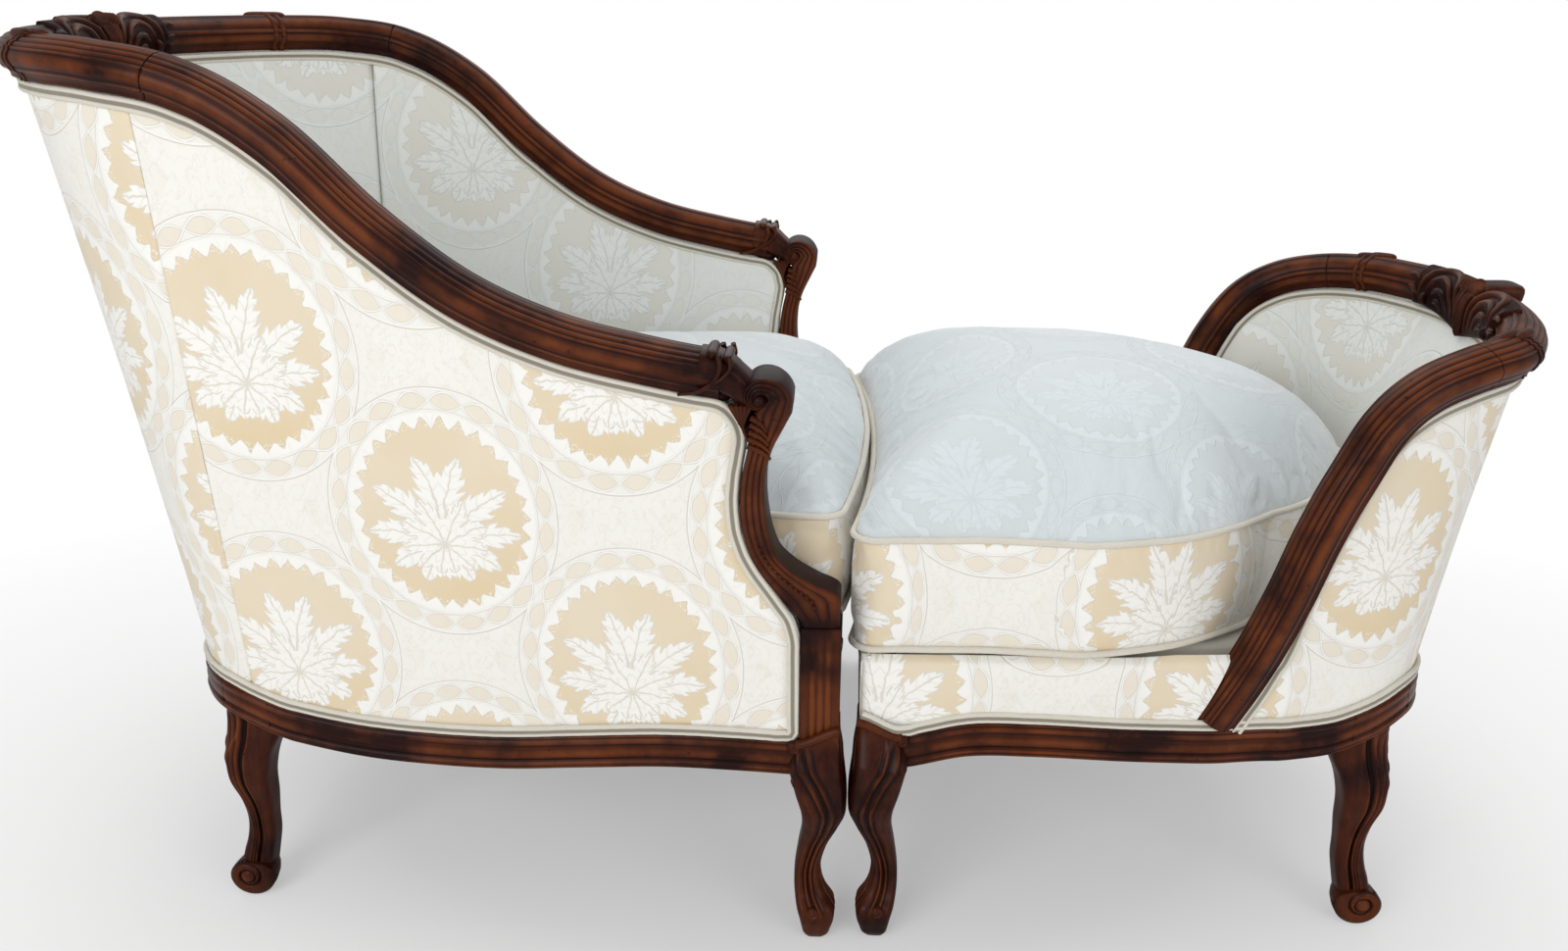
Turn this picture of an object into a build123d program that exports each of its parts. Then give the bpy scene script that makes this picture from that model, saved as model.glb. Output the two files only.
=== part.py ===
from build123d import *
import math
import os

os.makedirs("parts", exist_ok=True)

# Driving sizes in millimetres. The chair and the ottoman meet at x = 0, with the chair behind it.
chair_pole_reach = 628.0
chair_half_width = 340.0
chair_crest_height = 966.0
chair_ledge_height = 262.0
chair_strip_height = 312.0
chair_deck_height = 380.0
chair_seam_height = 505.0
chair_crown = 95.0
ottoman_pole_reach = 500.0
ottoman_half_width = 300.0
ottoman_crest_height = 674.0
ottoman_ledge_height = 275.0
ottoman_strip_height = 318.0
ottoman_deck_height = 355.0
ottoman_seam_height = 490.0
ottoman_crown = 118.0

# Show wood
rail_half_width = 26.0
rail_half_depth = 22.0
show_height = 38.0
seat_rail_thickness = 36.0
stile_depth = 42.0
stile_width = 46.0
stile_setback = 10.0
stile_top = 400.0
support_width = 46.0
scroll_radius = 24.0
scroll_width = 56.0
knee_height = 250.0
front_knee_width = 60.0
rear_knee_width = 66.0
front_leg_sweep = 17.5
rear_leg_sweep = 19.5

# Upholstery
cover_setback = 8.0
cover_thickness = 4.0
core_thickness = 12.0
pad_foot_thickness = 16.0
pad_head_thickness = 7.0
arm_pad_crown = 16.0
pad_blend_shares = (0.8, 1.5)
back_pad_crown = 34.0
foot_pad_crown = 20.0
pad_drop = 14.0
deck_pad_ease = 6.0
welt_height = 11.0
welt_reach = 6.5
welt_waist_share = 0.6
welt_edge_share = 0.1
border_thickness = 10.0
sheet_thickness = 2.0
dust_cover_thickness = 1.5
piping_radius = 3.0
cushion_clearance = 9.0
boxing_bulge = 2.0
cushion_foot_share = 0.1

# Inner frame and springs
wire_diameter = 3.6
spring_count = 5
spring_span_share = 1.3
spring_half_swing = 22.0
spring_step = 24.0
spring_bend_radius = 9.0
clip_thickness = 1.5
screw_head_relief = 3.0
dust_level_share = 0.5
back_face_samples = 80
clip_height = 14.0
clip_width = 52.0
block_leg = 62.0
block_height = 36.0
block_hole_share = 0.4
screw_radius = 2.2
screw_length = 44.0
screw_head_radius = 4.2
screw_head_height = 2.6
screw_spacing = 18.0
screw_bite_share = 0.28
screw_hole_clearance = 0.2

# Clearances
fit_gap = 0.3
seam_gap = 0.5
head_gap = 0.9
part_gap = 1.0
overrun = 20.0
tangent_step_share = 0.004
station_step = 0.0625
least_station_share = 0.4
loft_breaks = (0.5, 1.0, 1.5)
least_wall_rise = 150.0

# Wall tables. Each row holds how far round the wall the station is, from 0 at the meeting plane
# over 1 at the start of the rounded end to 2 at its middle, and then the rail's reach and height
# and the ledge's reach and height, as shares of the half width and of the rail and ledge heights.
chair_wall_shares = (
    (0.000, 1.000, 0.690, 0.982, 0.977),
    (0.188, 1.000, 0.700, 0.982, 1.000),
    (0.322, 1.000, 0.715, 0.974, 1.000),
    (0.467, 1.000, 0.739, 0.962, 0.973),
    (0.607, 1.000, 0.781, 0.947, 0.943),
    (0.740, 1.000, 0.848, 0.932, 0.939),
    (0.869, 0.994, 0.929, 0.915, 0.954),
    (1.000, 0.982, 0.977, 0.897, 1.004),
    (1.167, 0.971, 0.994, 0.868, 1.090),
    (1.328, 0.941, 0.998, 0.771, 1.070),
    (1.500, 0.897, 0.999, 0.668, 1.023),
    (1.744, 0.824, 1.000, 0.580, 1.000),
    (2.000, 0.788, 1.000, 0.553, 1.000),
)
ottoman_wall_shares = (
    (0.000, 1.000, 0.300, 1.060, 0.940),
    (0.120, 1.000, 0.300, 1.060, 0.953),
    (0.260, 1.000, 0.300, 1.050, 1.007),
    (0.400, 1.000, 0.300, 1.040, 1.007),
    (0.600, 1.000, 0.310, 1.020, 0.985),
    (0.760, 0.930, 0.370, 1.004, 0.975),
    (0.810, 0.945, 0.440, 0.998, 0.975),
    (0.864, 0.962, 0.535, 0.983, 0.975),
    (0.910, 0.975, 0.638, 0.973, 0.975),
    (0.950, 0.980, 0.742, 0.967, 0.975),
    (1.000, 0.970, 0.835, 0.957, 0.982),
    (1.070, 0.932, 0.914, 0.947, 0.996),
    (1.167, 0.903, 0.961, 0.935, 1.040),
    (1.294, 0.897, 0.985, 0.890, 1.080),
    (1.444, 0.899, 0.994, 0.800, 1.050),
    (1.600, 0.860, 0.997, 0.703, 1.015),
    (1.800, 0.816, 1.000, 0.632, 1.000),
    (2.000, 0.800, 1.000, 0.610, 1.000),
)

# Where pieces start and end round the walls
chair_arm_start_share = 0.150
chair_joint_share = 1.040
chair_pad_joint_share = 1.100
chair_leg_start_share = 1.055
chair_leg_end_share = 1.200
ottoman_arm_start_share = 0.775
ottoman_cover_start_share = 0.850
ottoman_band_end_share = 0.735
ottoman_pad_start_share = 0.925
ottoman_notch_shares = (0.72, 0.93)
ottoman_foot_box_share = 0.6
ottoman_notch_inner = 245.0
ottoman_joint_share = 1.330
ottoman_leg_start_share = 1.120
ottoman_leg_end_share = 1.320
back_middle_share = 2.0
block_reach_share = 0.09
post_width_share = 0.10

# Moulded section of the rails, as shares of their half width and half depth: start, middle, end
rail_profile_shares = (
    ((-0.62, -1.00), (0.55, -1.00)),
    ((0.55, -1.00), (0.66, -0.60), (0.86, -0.38)),
    ((0.86, -0.38), (1.00, -0.02), (0.86, 0.34)),
    ((0.86, 0.34), (0.52, 0.84), (0.00, 1.00)),
    ((0.00, 1.00), (-0.52, 0.84), (-0.86, 0.34)),
    ((-0.86, 0.34), (-1.00, -0.02), (-0.86, -0.38)),
    ((-0.86, -0.38), (-0.70, -0.62), (-0.62, -1.00)),
)

# Cabriole legs: height, width and sweep, as shares of knee height, knee width and leg sweep
front_leg_shares = (
    (0.000, 0.34, 0.60),
    (0.060, 0.57, 0.66),
    (0.108, 0.66, 0.69),
    (0.165, 0.72, 0.60),
    (0.228, 0.58, 0.20),
    (0.328, 0.48, 0.00),
    (0.468, 0.50, 0.26),
    (0.608, 0.64, 0.77),
    (0.704, 0.80, 1.00),
    (0.800, 0.93, 0.83),
    (0.920, 1.00, 0.50),
)
rear_leg_shares = (
    (0.000, 0.34, 1.20),
    (0.060, 0.64, 1.00),
    (0.140, 0.70, 0.85),
    (0.204, 0.64, 0.51),
    (0.276, 0.52, 0.13),
    (0.388, 0.48, 0.00),
    (0.480, 0.54, 0.00),
    (0.632, 0.71, 0.15),
    (0.744, 0.82, 0.00),
    (0.852, 0.95, -0.40),
    (0.940, 1.00, -0.60),
    (1.030, 1.00, -0.60),
)
leg_rounding_share = 0.42
diagonal_share = math.sqrt(0.5)

# Where the ankles stand: the front ones behind the meeting plane, the rear ones past the point that
# the curved back turns about, all of them so far inside each part's half width
front_ankle_setback = 44.5
chair_rear_ankle_overhang = 70.0
ottoman_rear_ankle_overhang = 83.0
chair_front_ankle_inset = 32.0
chair_rear_ankle_inset = 78.0
ottoman_front_ankle_inset = -2.0
ottoman_rear_ankle_inset = 59.0
chair_front_ankle = (front_ankle_setback, chair_half_width - chair_front_ankle_inset)
chair_rear_ankle = (chair_pole_reach + chair_rear_ankle_overhang, chair_half_width - chair_rear_ankle_inset)
ottoman_front_ankle = (front_ankle_setback, ottoman_half_width - ottoman_front_ankle_inset)
ottoman_rear_ankle = (ottoman_pole_reach + ottoman_rear_ankle_overhang,
                      ottoman_half_width - ottoman_rear_ankle_inset)

# Outline of the arm support seen from the side, as shares of its length and of the height from
# the stile's top to the middle of the arm rail's front end. The rear edge runs from bottom to top.
support_front = 118.0
support_front_edge_shares = (
    (0.10, -0.02),
    (0.10, 0.13),
    (0.24, 0.18),
    (0.50, 0.24),
    (0.66, 0.32),
    (0.73, 0.44),
    (0.74, 0.55),
    (0.70, 0.69),
    (0.62, 0.79),
    (0.50, 0.90),
)
support_rear_edge_shares = (
    (0.43, -0.02),
    (0.52, 0.05),
    (0.69, 0.17),
    (0.86, 0.29),
    (0.95, 0.41),
    (0.97, 0.53),
    (0.94, 0.65),
    (0.89, 0.76),
    (0.86, 0.90),
)
scroll_centre_shares = (0.80, 0.945)


def read_table(table, t, column):
    """Smooth value of one column of a table at t, level past its last row by symmetry."""
    mirrored = tuple((2 * back_middle_share - row[0],) + row[1:] for row in reversed(table[:-1]))
    rows = table + mirrored
    index = 0
    while index < len(rows) - 2 and rows[index + 1][0] <= t:
        index += 1
    before = rows[max(index - 1, 0)]
    start = rows[index]
    end = rows[index + 1]
    after = rows[min(index + 2, len(rows) - 1)]
    span = end[0] - start[0]
    share = (t - start[0]) / span
    start_slope = (end[column] - before[column]) / (end[0] - before[0])
    end_slope = (after[column] - start[column]) / (after[0] - start[0])
    squared = share * share
    cubed = squared * share
    value = start[column] * (2 * cubed - 3 * squared + 1)
    value += end[column] * (3 * squared - 2 * cubed)
    value += start_slope * span * (cubed - 2 * squared + share)
    value += end_slope * span * (cubed - squared)
    return value


def steps(first, last, count):
    """Evenly spaced values from first to last."""
    return [first + (last - first) * index / (count - 1) for index in range(count)]


class Wall:
    """The upholstered wall of the chair or the ottoman, with the rail on it and the ledge below."""

    def __init__(self, facing, reach, half_width, crest_height, ledge_height, strip_height,
                 deck_height, shares, pad_crowns):
        self.facing = facing
        self.reach = reach
        self.half_width = half_width
        self.crest_height = crest_height
        self.ledge_height = ledge_height
        self.strip_height = strip_height
        self.deck_height = deck_height
        self.shares = shares
        self.pad_crowns = pad_crowns

    def point(self, t, reach, height):
        """Point at this reach from the middle and this height, in the station's upright plane."""
        if t <= 1:
            return Vector(self.facing * self.reach * t, reach, height)
        turn = math.radians(90) * (t - 1)
        side = self.facing * (self.reach + reach * math.sin(turn))
        return Vector(side, reach * math.cos(turn), height)

    def outward(self, t):
        turn = math.radians(90) * max(t - 1, 0)
        return Vector(self.facing * math.sin(turn), math.cos(turn), 0)

    def rail_reach(self, t):
        return self.half_width * read_table(self.shares, t, 1)

    def rail_height(self, t):
        return self.crest_height * read_table(self.shares, t, 2)

    def ledge_reach(self, t):
        return self.half_width * read_table(self.shares, t, 3)

    def ledge_level(self, t):
        return self.ledge_height * read_table(self.shares, t, 4)

    def rail_point(self, t):
        return self.point(t, self.rail_reach(t), self.rail_height(t))

    def rail_normal(self, t):
        """Direction across the rail, square to its run and to the outward direction."""
        ahead = self.rail_point(t + tangent_step_share)
        behind = self.rail_point(t - tangent_step_share)
        out = self.outward(t)
        run = ahead - behind
        run = run - out * run.dot(out)
        normal = out.cross(run.normalized())
        return normal if normal.Z > 0 else normal * -1

    def wall_head(self, t):
        """Height where covers and pads end, just clear of the rail's underside."""
        return self.rail_height(t) - (rail_half_depth + head_gap) / self.rail_normal(t).Z

    def cover_face(self, t, height):
        """Reach of the outside cover's outer face at a height."""
        foot = self.ledge_reach(t) - cover_setback
        head = max(self.rail_reach(t) + cover_setback, foot)
        rise = max(self.rail_height(t) - self.ledge_level(t), least_wall_rise)
        return foot + (head - foot) * (height - self.ledge_level(t)) / rise

    def core_face(self, t, height):
        """Reach of the face that the inside pad lies against."""
        return self.cover_face(t, height) - cover_thickness - core_thickness

    def pad_crown(self, t):
        """How far the inside pad swells, blending from the arms to the back."""
        first, last = pad_blend_shares
        blend = min(max((t - first) / (last - first), 0), 1)
        return self.pad_crowns[0] + (self.pad_crowns[1] - self.pad_crowns[0]) * blend

    def pad_face(self, t, height):
        """Reach of the inside pad's visible face at a height."""
        foot = self.deck_height - pad_drop
        head = self.wall_head(t)
        share = min(max((height - foot) / (head - foot), 0), 1)
        thickness = pad_foot_thickness + (pad_head_thickness - pad_foot_thickness) * share
        swell = self.pad_crown(t) * 4 * share * (1 - share)
        return self.core_face(t, height) - thickness - swell


chair = Wall(-1, chair_pole_reach, chair_half_width, chair_crest_height, chair_ledge_height,
             chair_strip_height, chair_deck_height, chair_wall_shares, (arm_pad_crown, back_pad_crown))
ottoman = Wall(1, ottoman_pole_reach, ottoman_half_width, ottoman_crest_height,
               ottoman_ledge_height, ottoman_strip_height, ottoman_deck_height,
               ottoman_wall_shares, (foot_pad_crown, foot_pad_crown))


def edge_through(points):
    """A line through two points, or an arc through three."""
    if len(points) == 2:
        return Edge.make_line(*points)
    return Edge.make_three_point_arc(*points)


def loft_through(outlines):
    """A solid through closed outlines, each a list of point tuples for lines and arcs."""
    wires = [Wire([edge_through(points) for points in outline]) for outline in outlines]
    return Solid.make_loft(wires)


def mirrored(shape):
    """The same shape on the other side of the middle."""
    return shape.mirror(Plane.XZ)


def rail_outline(wall, t):
    """Moulded rail section, square to the rail's run."""
    middle = wall.rail_point(t)
    out = wall.outward(t) * rail_half_width
    up = wall.rail_normal(t) * rail_half_depth
    return [[middle + out * a + up * b for a, b in piece] for piece in rail_profile_shares]


def half_turn(points):
    return [Vector(p.X, -p.Y, p.Z) for p in points]


def stations(start, end):
    """Stations from start to end, on one grid that all pieces share."""
    inner = [index * station_step for index in range(int(back_middle_share / station_step) + 1)]
    least = station_step * least_station_share
    inner = [t for t in inner if start + least < t < end - least]
    return [start] + inner + [end]


def polygon_outline(wall, t, corners):
    """Closed outline of straight lines through (reach, height) corners."""
    points = [wall.point(t, reach, height) for reach, height in corners]
    return [(points[index], points[(index + 1) % len(points)]) for index in range(len(points))]


def seat_rail_outline(wall, t):
    """Seat rail with its show face, ledge and tacking strip."""
    outer = wall.ledge_reach(t)
    ledge = wall.ledge_level(t)
    foot = ledge - show_height
    strip = outer - cover_setback - cover_thickness - part_gap
    inner = outer - seat_rail_thickness
    top = wall.strip_height
    corners = ((outer, foot), (outer, ledge), (strip, ledge), (strip, top), (inner, top), (inner, foot))
    return polygon_outline(wall, t, corners)


def cover_outline(wall, t):
    """Outside cover from the ledge to the rail."""
    return slab_outline(wall, t, wall.wall_head(t))


def slab_outline(wall, t, head):
    """Covering from the ledge to this height."""
    foot = wall.ledge_level(t) + seam_gap
    corners = []
    for height, inset in ((foot, 0), (head, 0), (head, cover_thickness), (foot, cover_thickness)):
        corners.append((wall.cover_face(t, height) - inset, height))
    return polygon_outline(wall, t, corners)


def band_outline(wall, t):
    return slab_outline(wall, t, wall.deck_height)


def pad_outline(wall, t):
    """Inside pad with its swelling face."""
    foot = wall.deck_height - pad_drop
    head = wall.wall_head(t)
    middle = (foot + head) / 2
    outer_foot = wall.point(t, wall.core_face(t, foot), foot)
    outer_head = wall.point(t, wall.core_face(t, head), head)
    face_foot = wall.point(t, wall.pad_face(t, foot), foot)
    face_middle = wall.point(t, wall.pad_face(t, middle), middle)
    face_head = wall.point(t, wall.pad_face(t, head), head)
    return [(outer_foot, outer_head), (outer_head, face_head),
            (face_head, face_middle, face_foot), (face_foot, outer_foot)]


def welt_outline(wall, t, face, foot, way):
    """Double cord lying on a face, its two lobes pointing the given way."""
    lobe = welt_height / 4

    def spot(rise, share):
        height = foot + lobe * rise
        return wall.point(t, face(t, height) + way * (seam_gap + welt_reach * share), height)

    low, low_lobe, waist = spot(welt_edge_share, welt_waist_share), spot(1, 1), spot(2, welt_waist_share)
    high_lobe, high = spot(3, 1), spot(4 - welt_edge_share, welt_waist_share)
    return [(spot(0, 0), low), (low, low_lobe, waist), (waist, high_lobe, high),
            (high, spot(4, 0)), (spot(4, 0), spot(0, 0))]


def bottom_welt_outline(wall, t):
    return welt_outline(wall, t, wall.cover_face, wall.ledge_level(t) + seam_gap, 1)


def top_welt_outline(wall, t):
    foot = wall.wall_head(t) - welt_height
    return welt_outline(wall, t, wall.cover_face, foot, 1)


def inner_welt_outline(wall, t):
    foot = wall.wall_head(t) - welt_height
    return welt_outline(wall, t, wall.pad_face, foot, -1)


def side_loft(outline_at, wall, start, end):
    return loft_through([outline_at(wall, t) for t in stations(start, end)])


def back_loft(outline_at, wall, start):
    """One piece from start round the back to the same place on the other side, in short lengths."""
    breaks = [t for t in loft_breaks if t > start]
    side_pieces = [side_loft(outline_at, wall, a, b) for a, b in zip([start] + breaks[:-1], breaks)]
    half = [outline_at(wall, t) for t in stations(breaks[-1], back_middle_share)]
    other = [[half_turn(points) for points in outline] for outline in reversed(half[:-1])]
    middle = loft_through(half + other)
    return middle.fuse(*side_pieces, *[mirrored(piece) for piece in side_pieces])


def box_between(low, high):
    """Block from its lowest to its highest corner."""
    size = [b - a for a, b in zip(low, high)]
    middle = [(a + b) / 2 for a, b in zip(low, high)]
    return Solid.make_box(*size).translate(Vector(*[m - s / 2 for m, s in zip(middle, size)]))


def plate_from(points, height, thickness):
    """Flat plate with a smooth edge through plan points, closed by a straight front."""
    lifted = [Vector(x, y, height) for x, y in points]
    curve = Edge.make_spline(lifted)
    front = Edge.make_line(lifted[-1], lifted[0])
    return Solid.extrude(Face(Wire([curve, front])), Vector(0, 0, thickness))


def plan_points(wall, start, inset):
    """Plan points just inside the ledge line, from one side round the back to the other."""
    half = []
    for t in stations(start, back_middle_share):
        spot = wall.point(t, wall.ledge_reach(t) - inset, 0)
        half.append((spot.X, spot.Y))
    return half + [(x, -y) for x, y in reversed(half[:-1])]


def leg_section(x, y, height, half):
    """Rounded square, level, as points for four sides and four corners."""
    inner = half * (1 - leg_rounding_share)
    bend = half * (1 - leg_rounding_share * (1 - diagonal_share))
    outline = []
    corner_ways = ((1, 1), (-1, 1), (-1, -1), (1, -1))
    for index, (a, b) in enumerate(corner_ways):
        first = (a * half, b * inner) if index % 2 == 0 else (a * inner, b * half)
        last = (a * inner, b * half) if index % 2 == 0 else (a * half, b * inner)
        outline.append((first, (a * bend, b * bend), last))
        a_next, b_next = corner_ways[(index + 1) % 4]
        follow = (a_next * inner, b_next * half) if index % 2 == 0 else (a_next * half, b_next * inner)
        outline.append((last, follow))
    return [[Vector(x + px, y + py, height) for px, py in piece] for piece in outline]


def cabriole(wall, ankle, shares, knee_width, sweep, toe):
    """Leg whose knee and foot swing out on the diagonal; toe is 1 to the meeting plane, -1 away."""
    outlines = []
    for height_share, width_share, sweep_share in shares:
        swing = sweep * sweep_share
        x = wall.facing * (ankle[0] - toe * swing)
        outlines.append(leg_section(x, ankle[1] + swing, knee_height * height_share,
                                    knee_width * width_share / 2))
    return loft_through(outlines)


def border_back_reach():
    """Distance from the meeting plane to the back of the front border."""
    return stile_setback + part_gap + cover_setback + cover_thickness - fit_gap


def corner_reach(wall):
    """Half width inside the cloth that wraps a covered stile."""
    return wall.ledge_reach(0) - cover_setback - cover_thickness - fit_gap


def front_leg(wall):
    """Front leg with its knee block and the stile above it, which cloth may cover from the ledge up."""
    leg = cabriole(wall, wall.front_ankle, front_leg_shares, front_knee_width, front_leg_sweep, 1)
    outer = wall.ledge_reach(0) + fit_gap
    near = wall.facing * stile_setback
    far = wall.facing * (stile_setback + stile_depth)
    low = (min(near, far), outer - stile_width, knee_height * front_leg_shares[-3][0])
    if not wall.stile_covered:
        return leg.fuse(box_between(low, (max(near, far), outer, wall.stile_top)))
    shown = box_between(low, (max(near, far), outer, wall.ledge_level(0)))
    near = wall.facing * (border_back_reach() + fit_gap)
    low = (min(near, far), outer - stile_width, wall.ledge_level(0) - fit_gap)
    high = (max(near, far), corner_reach(wall), wall.stile_top)
    return leg.fuse(shown).fuse(box_between(low, high))


def rear_leg(wall, start, end):
    """Rear leg with the block that stands in the seat rail between side and back."""
    leg = cabriole(wall, wall.rear_ankle, rear_leg_shares, rear_knee_width, rear_leg_sweep, -1)
    block = side_loft(seat_rail_outline, wall, start, end)
    return leg.fuse(block)


def front_rail(wall):
    """Straight front seat rail between the stiles."""
    outer = wall.facing * (stile_setback + part_gap)
    step = wall.facing * (cover_setback + cover_thickness)
    inner = wall.facing * (stile_setback + stile_depth)
    half = wall.ledge_reach(0) + fit_gap - stile_width
    ledge = wall.ledge_level(0)
    foot = ledge - show_height
    top = wall.strip_height
    corners = ((outer, foot), (outer, ledge), (outer + step, ledge), (outer + step, top),
               (inner, top), (inner, foot))
    points = [Vector(x, -half, z) for x, z in corners]
    face = Face(Wire([Edge.make_line(points[i], points[(i + 1) % 6]) for i in range(6)]))
    return Solid.extrude(face, Vector(0, 2 * half, 0))


def front_border(wall):
    """Upholstered band between the front rail's ledge and the deck, with a slight crown."""
    half = wall.ledge_reach(0) - stile_width
    if wall.stile_covered:
        half = corner_reach(wall)
    back = wall.facing * border_back_reach()
    front = back - wall.facing * border_thickness
    crown = front - wall.facing * part_gap
    low = wall.ledge_level(0) + fit_gap
    high = wall.deck_height
    outlines = []
    for y in (-half, half):
        corners = [Vector(x, y, z) for x, z in ((back, low), (back, high), (front, high), (front, low))]
        bulge = Vector(crown, y, (low + high) / 2)
        outlines.append([(corners[0], corners[1]), (corners[1], corners[2]),
                         (corners[2], bulge, corners[3]), (corners[3], corners[0])])
    return loft_through(outlines)


def support_point(length_share, height_share):
    """Point of the arm support's outline, in the plane of its side."""
    top = chair.rail_height(chair_arm_start_share)
    return (-support_front * length_share, stile_top + (top - stile_top) * height_share)


def support_outline_wire(rear_shift, y):
    """Closed outline of the arm support with its rear edge moved back by rear_shift."""
    front = [support_point(*share) for share in support_front_edge_shares]
    rear = [support_point(*share) for share in support_rear_edge_shares]
    rear = [(x - rear_shift, z) for x, z in rear]
    front_edge = Edge.make_spline([Vector(x, y, z) for x, z in front])
    rear_edge = Edge.make_spline([Vector(x, y, z) for x, z in rear])
    top_edge = Edge.make_line(front_edge @ 1, rear_edge @ 1)
    foot_edge = Edge.make_line(rear_edge @ 0, front_edge @ 0)
    return Wire([front_edge, top_edge, rear_edge, foot_edge])


def lean_support(shape):
    """Lean a piece out from the stile's middle to the middle of the rail."""
    foot_middle = support_middle()
    rise = chair.rail_height(chair_arm_start_share) - stile_top
    lean = math.degrees(math.atan2(chair.rail_reach(chair_arm_start_share) - foot_middle, rise))
    return shape.rotate(Axis((0, foot_middle, stile_top), (1, 0, 0)), -lean)


def support_middle():
    return chair.ledge_reach(0) + fit_gap - stile_width / 2


def support_post():
    """S-shaped support on the stile."""
    wire = support_outline_wire(0, support_middle() - support_width / 2)
    post = lean_support(Solid.extrude(Face(wire), Vector(0, support_width, 0)))
    below = box_between((-2 * support_front, 0, 0), (support_front, chair_crest_height, stile_top))
    return post.cut(below)


def support_trim():
    """Everything in front of the support's rear edge and above the stile."""
    rear = [support_point(*share) for share in support_rear_edge_shares]
    side = support_middle() - 2 * stile_width
    points = [Vector(x - fit_gap, side, z) for x, z in rear]
    top = points[-1] + Vector(0, 0, support_front)
    front_top = Vector(support_front, side, top.Z)
    front_foot = Vector(support_front, side, points[0].Z)
    edges = [Edge.make_spline(points), Edge.make_line(points[-1], top), Edge.make_line(top, front_top),
             Edge.make_line(front_top, front_foot), Edge.make_line(front_foot, points[0])]
    return lean_support(Solid.extrude(Face(Wire(edges)), Vector(0, 4 * stile_width, 0)))


def arm_rail():
    """Chair arm rail with the scroll at its front end."""
    rail = side_loft(rail_outline, chair, chair_arm_start_share, chair_joint_share)
    middle = chair.rail_reach(chair_arm_start_share)
    centre_x, centre_z = support_point(*scroll_centre_shares)
    plane = Plane(origin=(centre_x, middle - scroll_width / 2, centre_z), z_dir=(0, 1, 0))
    return rail.fuse(Solid.make_cylinder(scroll_radius, scroll_width, plane))


def post_outline(wall, t):
    """Upright between the outside cover and the inside pad."""
    foot = wall.strip_height + fit_gap
    head = wall.wall_head(t)
    corners = []
    for height, inner in ((foot, False), (head, False), (head, True), (foot, True)):
        reach = wall.cover_face(t, height) - cover_thickness - fit_gap
        if inner:
            reach = wall.core_face(t, height) + fit_gap
        corners.append((reach, height))
    return polygon_outline(wall, t, corners)


def screw(head, tip, grow):
    """Screw from the underside of its head to its tip; grow makes the hole for it."""
    way = (tip - head).normalized()
    length = (tip - head).length + grow
    shank = Solid.make_cylinder(screw_radius + grow, length, Plane(origin=head, z_dir=way))
    depth = screw_head_radius * screw_head_relief if grow > 0 else screw_head_height
    cap_plane = Plane(origin=head - way * depth, z_dir=way)
    return shank.fuse(Solid.make_cylinder(screw_head_radius + grow, depth, cap_plane))


def front_block(wall):
    """Corner block behind the front rail, and the lines of its two screws."""
    x = inner_front(wall) + wall.facing * fit_gap
    share = (abs(x) + block_leg) / wall.reach
    y = wall.ledge_reach(share) - seat_rail_thickness - fit_gap
    foot = block_foot(wall)
    rear = x + wall.facing * block_leg
    points = [Vector(x, y, foot), Vector(rear, y, foot), Vector(x, y - block_leg, foot)]
    block = prism(points, block_height)
    into = block_leg * block_hole_share
    level = foot + block_height / 2
    drive = block_leg - into
    high = level + screw_spacing / 2
    low = level - screw_spacing / 2
    first = (Vector(x + wall.facing * drive, y - into, high),
             Vector(x - wall.facing * (screw_length - drive), y - into, high))
    second = (Vector(x + wall.facing * into, y - drive, low),
              Vector(x + wall.facing * into, y + screw_length - drive, low))
    return block, [first, second]


def rear_block(wall, start, end):
    """Corner block inside the rear leg, bridging side and back rail."""
    foot = block_foot(wall)
    level = foot + block_height / 2
    points = []
    for t in (start - block_reach_share, (start + end) / 2, end + block_reach_share):
        points.append(wall.point(t, wall.ledge_reach(t) - seat_rail_thickness - part_gap, foot))
    block = prism(points, block_height)
    lines = []
    for t, height in ((start - block_reach_share / 3, level + screw_spacing / 2),
                      (end + block_reach_share / 3, level - screw_spacing / 2)):
        reach = wall.ledge_reach(t) - seat_rail_thickness
        lines.append((wall.point(t, reach - screw_length * (1 - screw_bite_share), height),
                      wall.point(t, reach + screw_length * screw_bite_share, height)))
    return block, lines


def block_foot(wall):
    return wall.strip_height - clip_height - block_height - part_gap


def prism(points, height):
    count = len(points)
    edges = [Edge.make_line(points[index], points[(index + 1) % count]) for index in range(count)]
    return Solid.extrude(Face(Wire(edges)), Vector(0, 0, height))


def cushion_outline(points, centre, half_length, half_width, inset, height):
    """Cushion plan drawn in on every side by inset."""
    x_scale = 1 - inset / half_length
    y_scale = 1 - inset / half_width
    return [[Vector(centre + (x - centre) * x_scale, y * y_scale, height) for x, y in piece]
            for piece in points]


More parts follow.
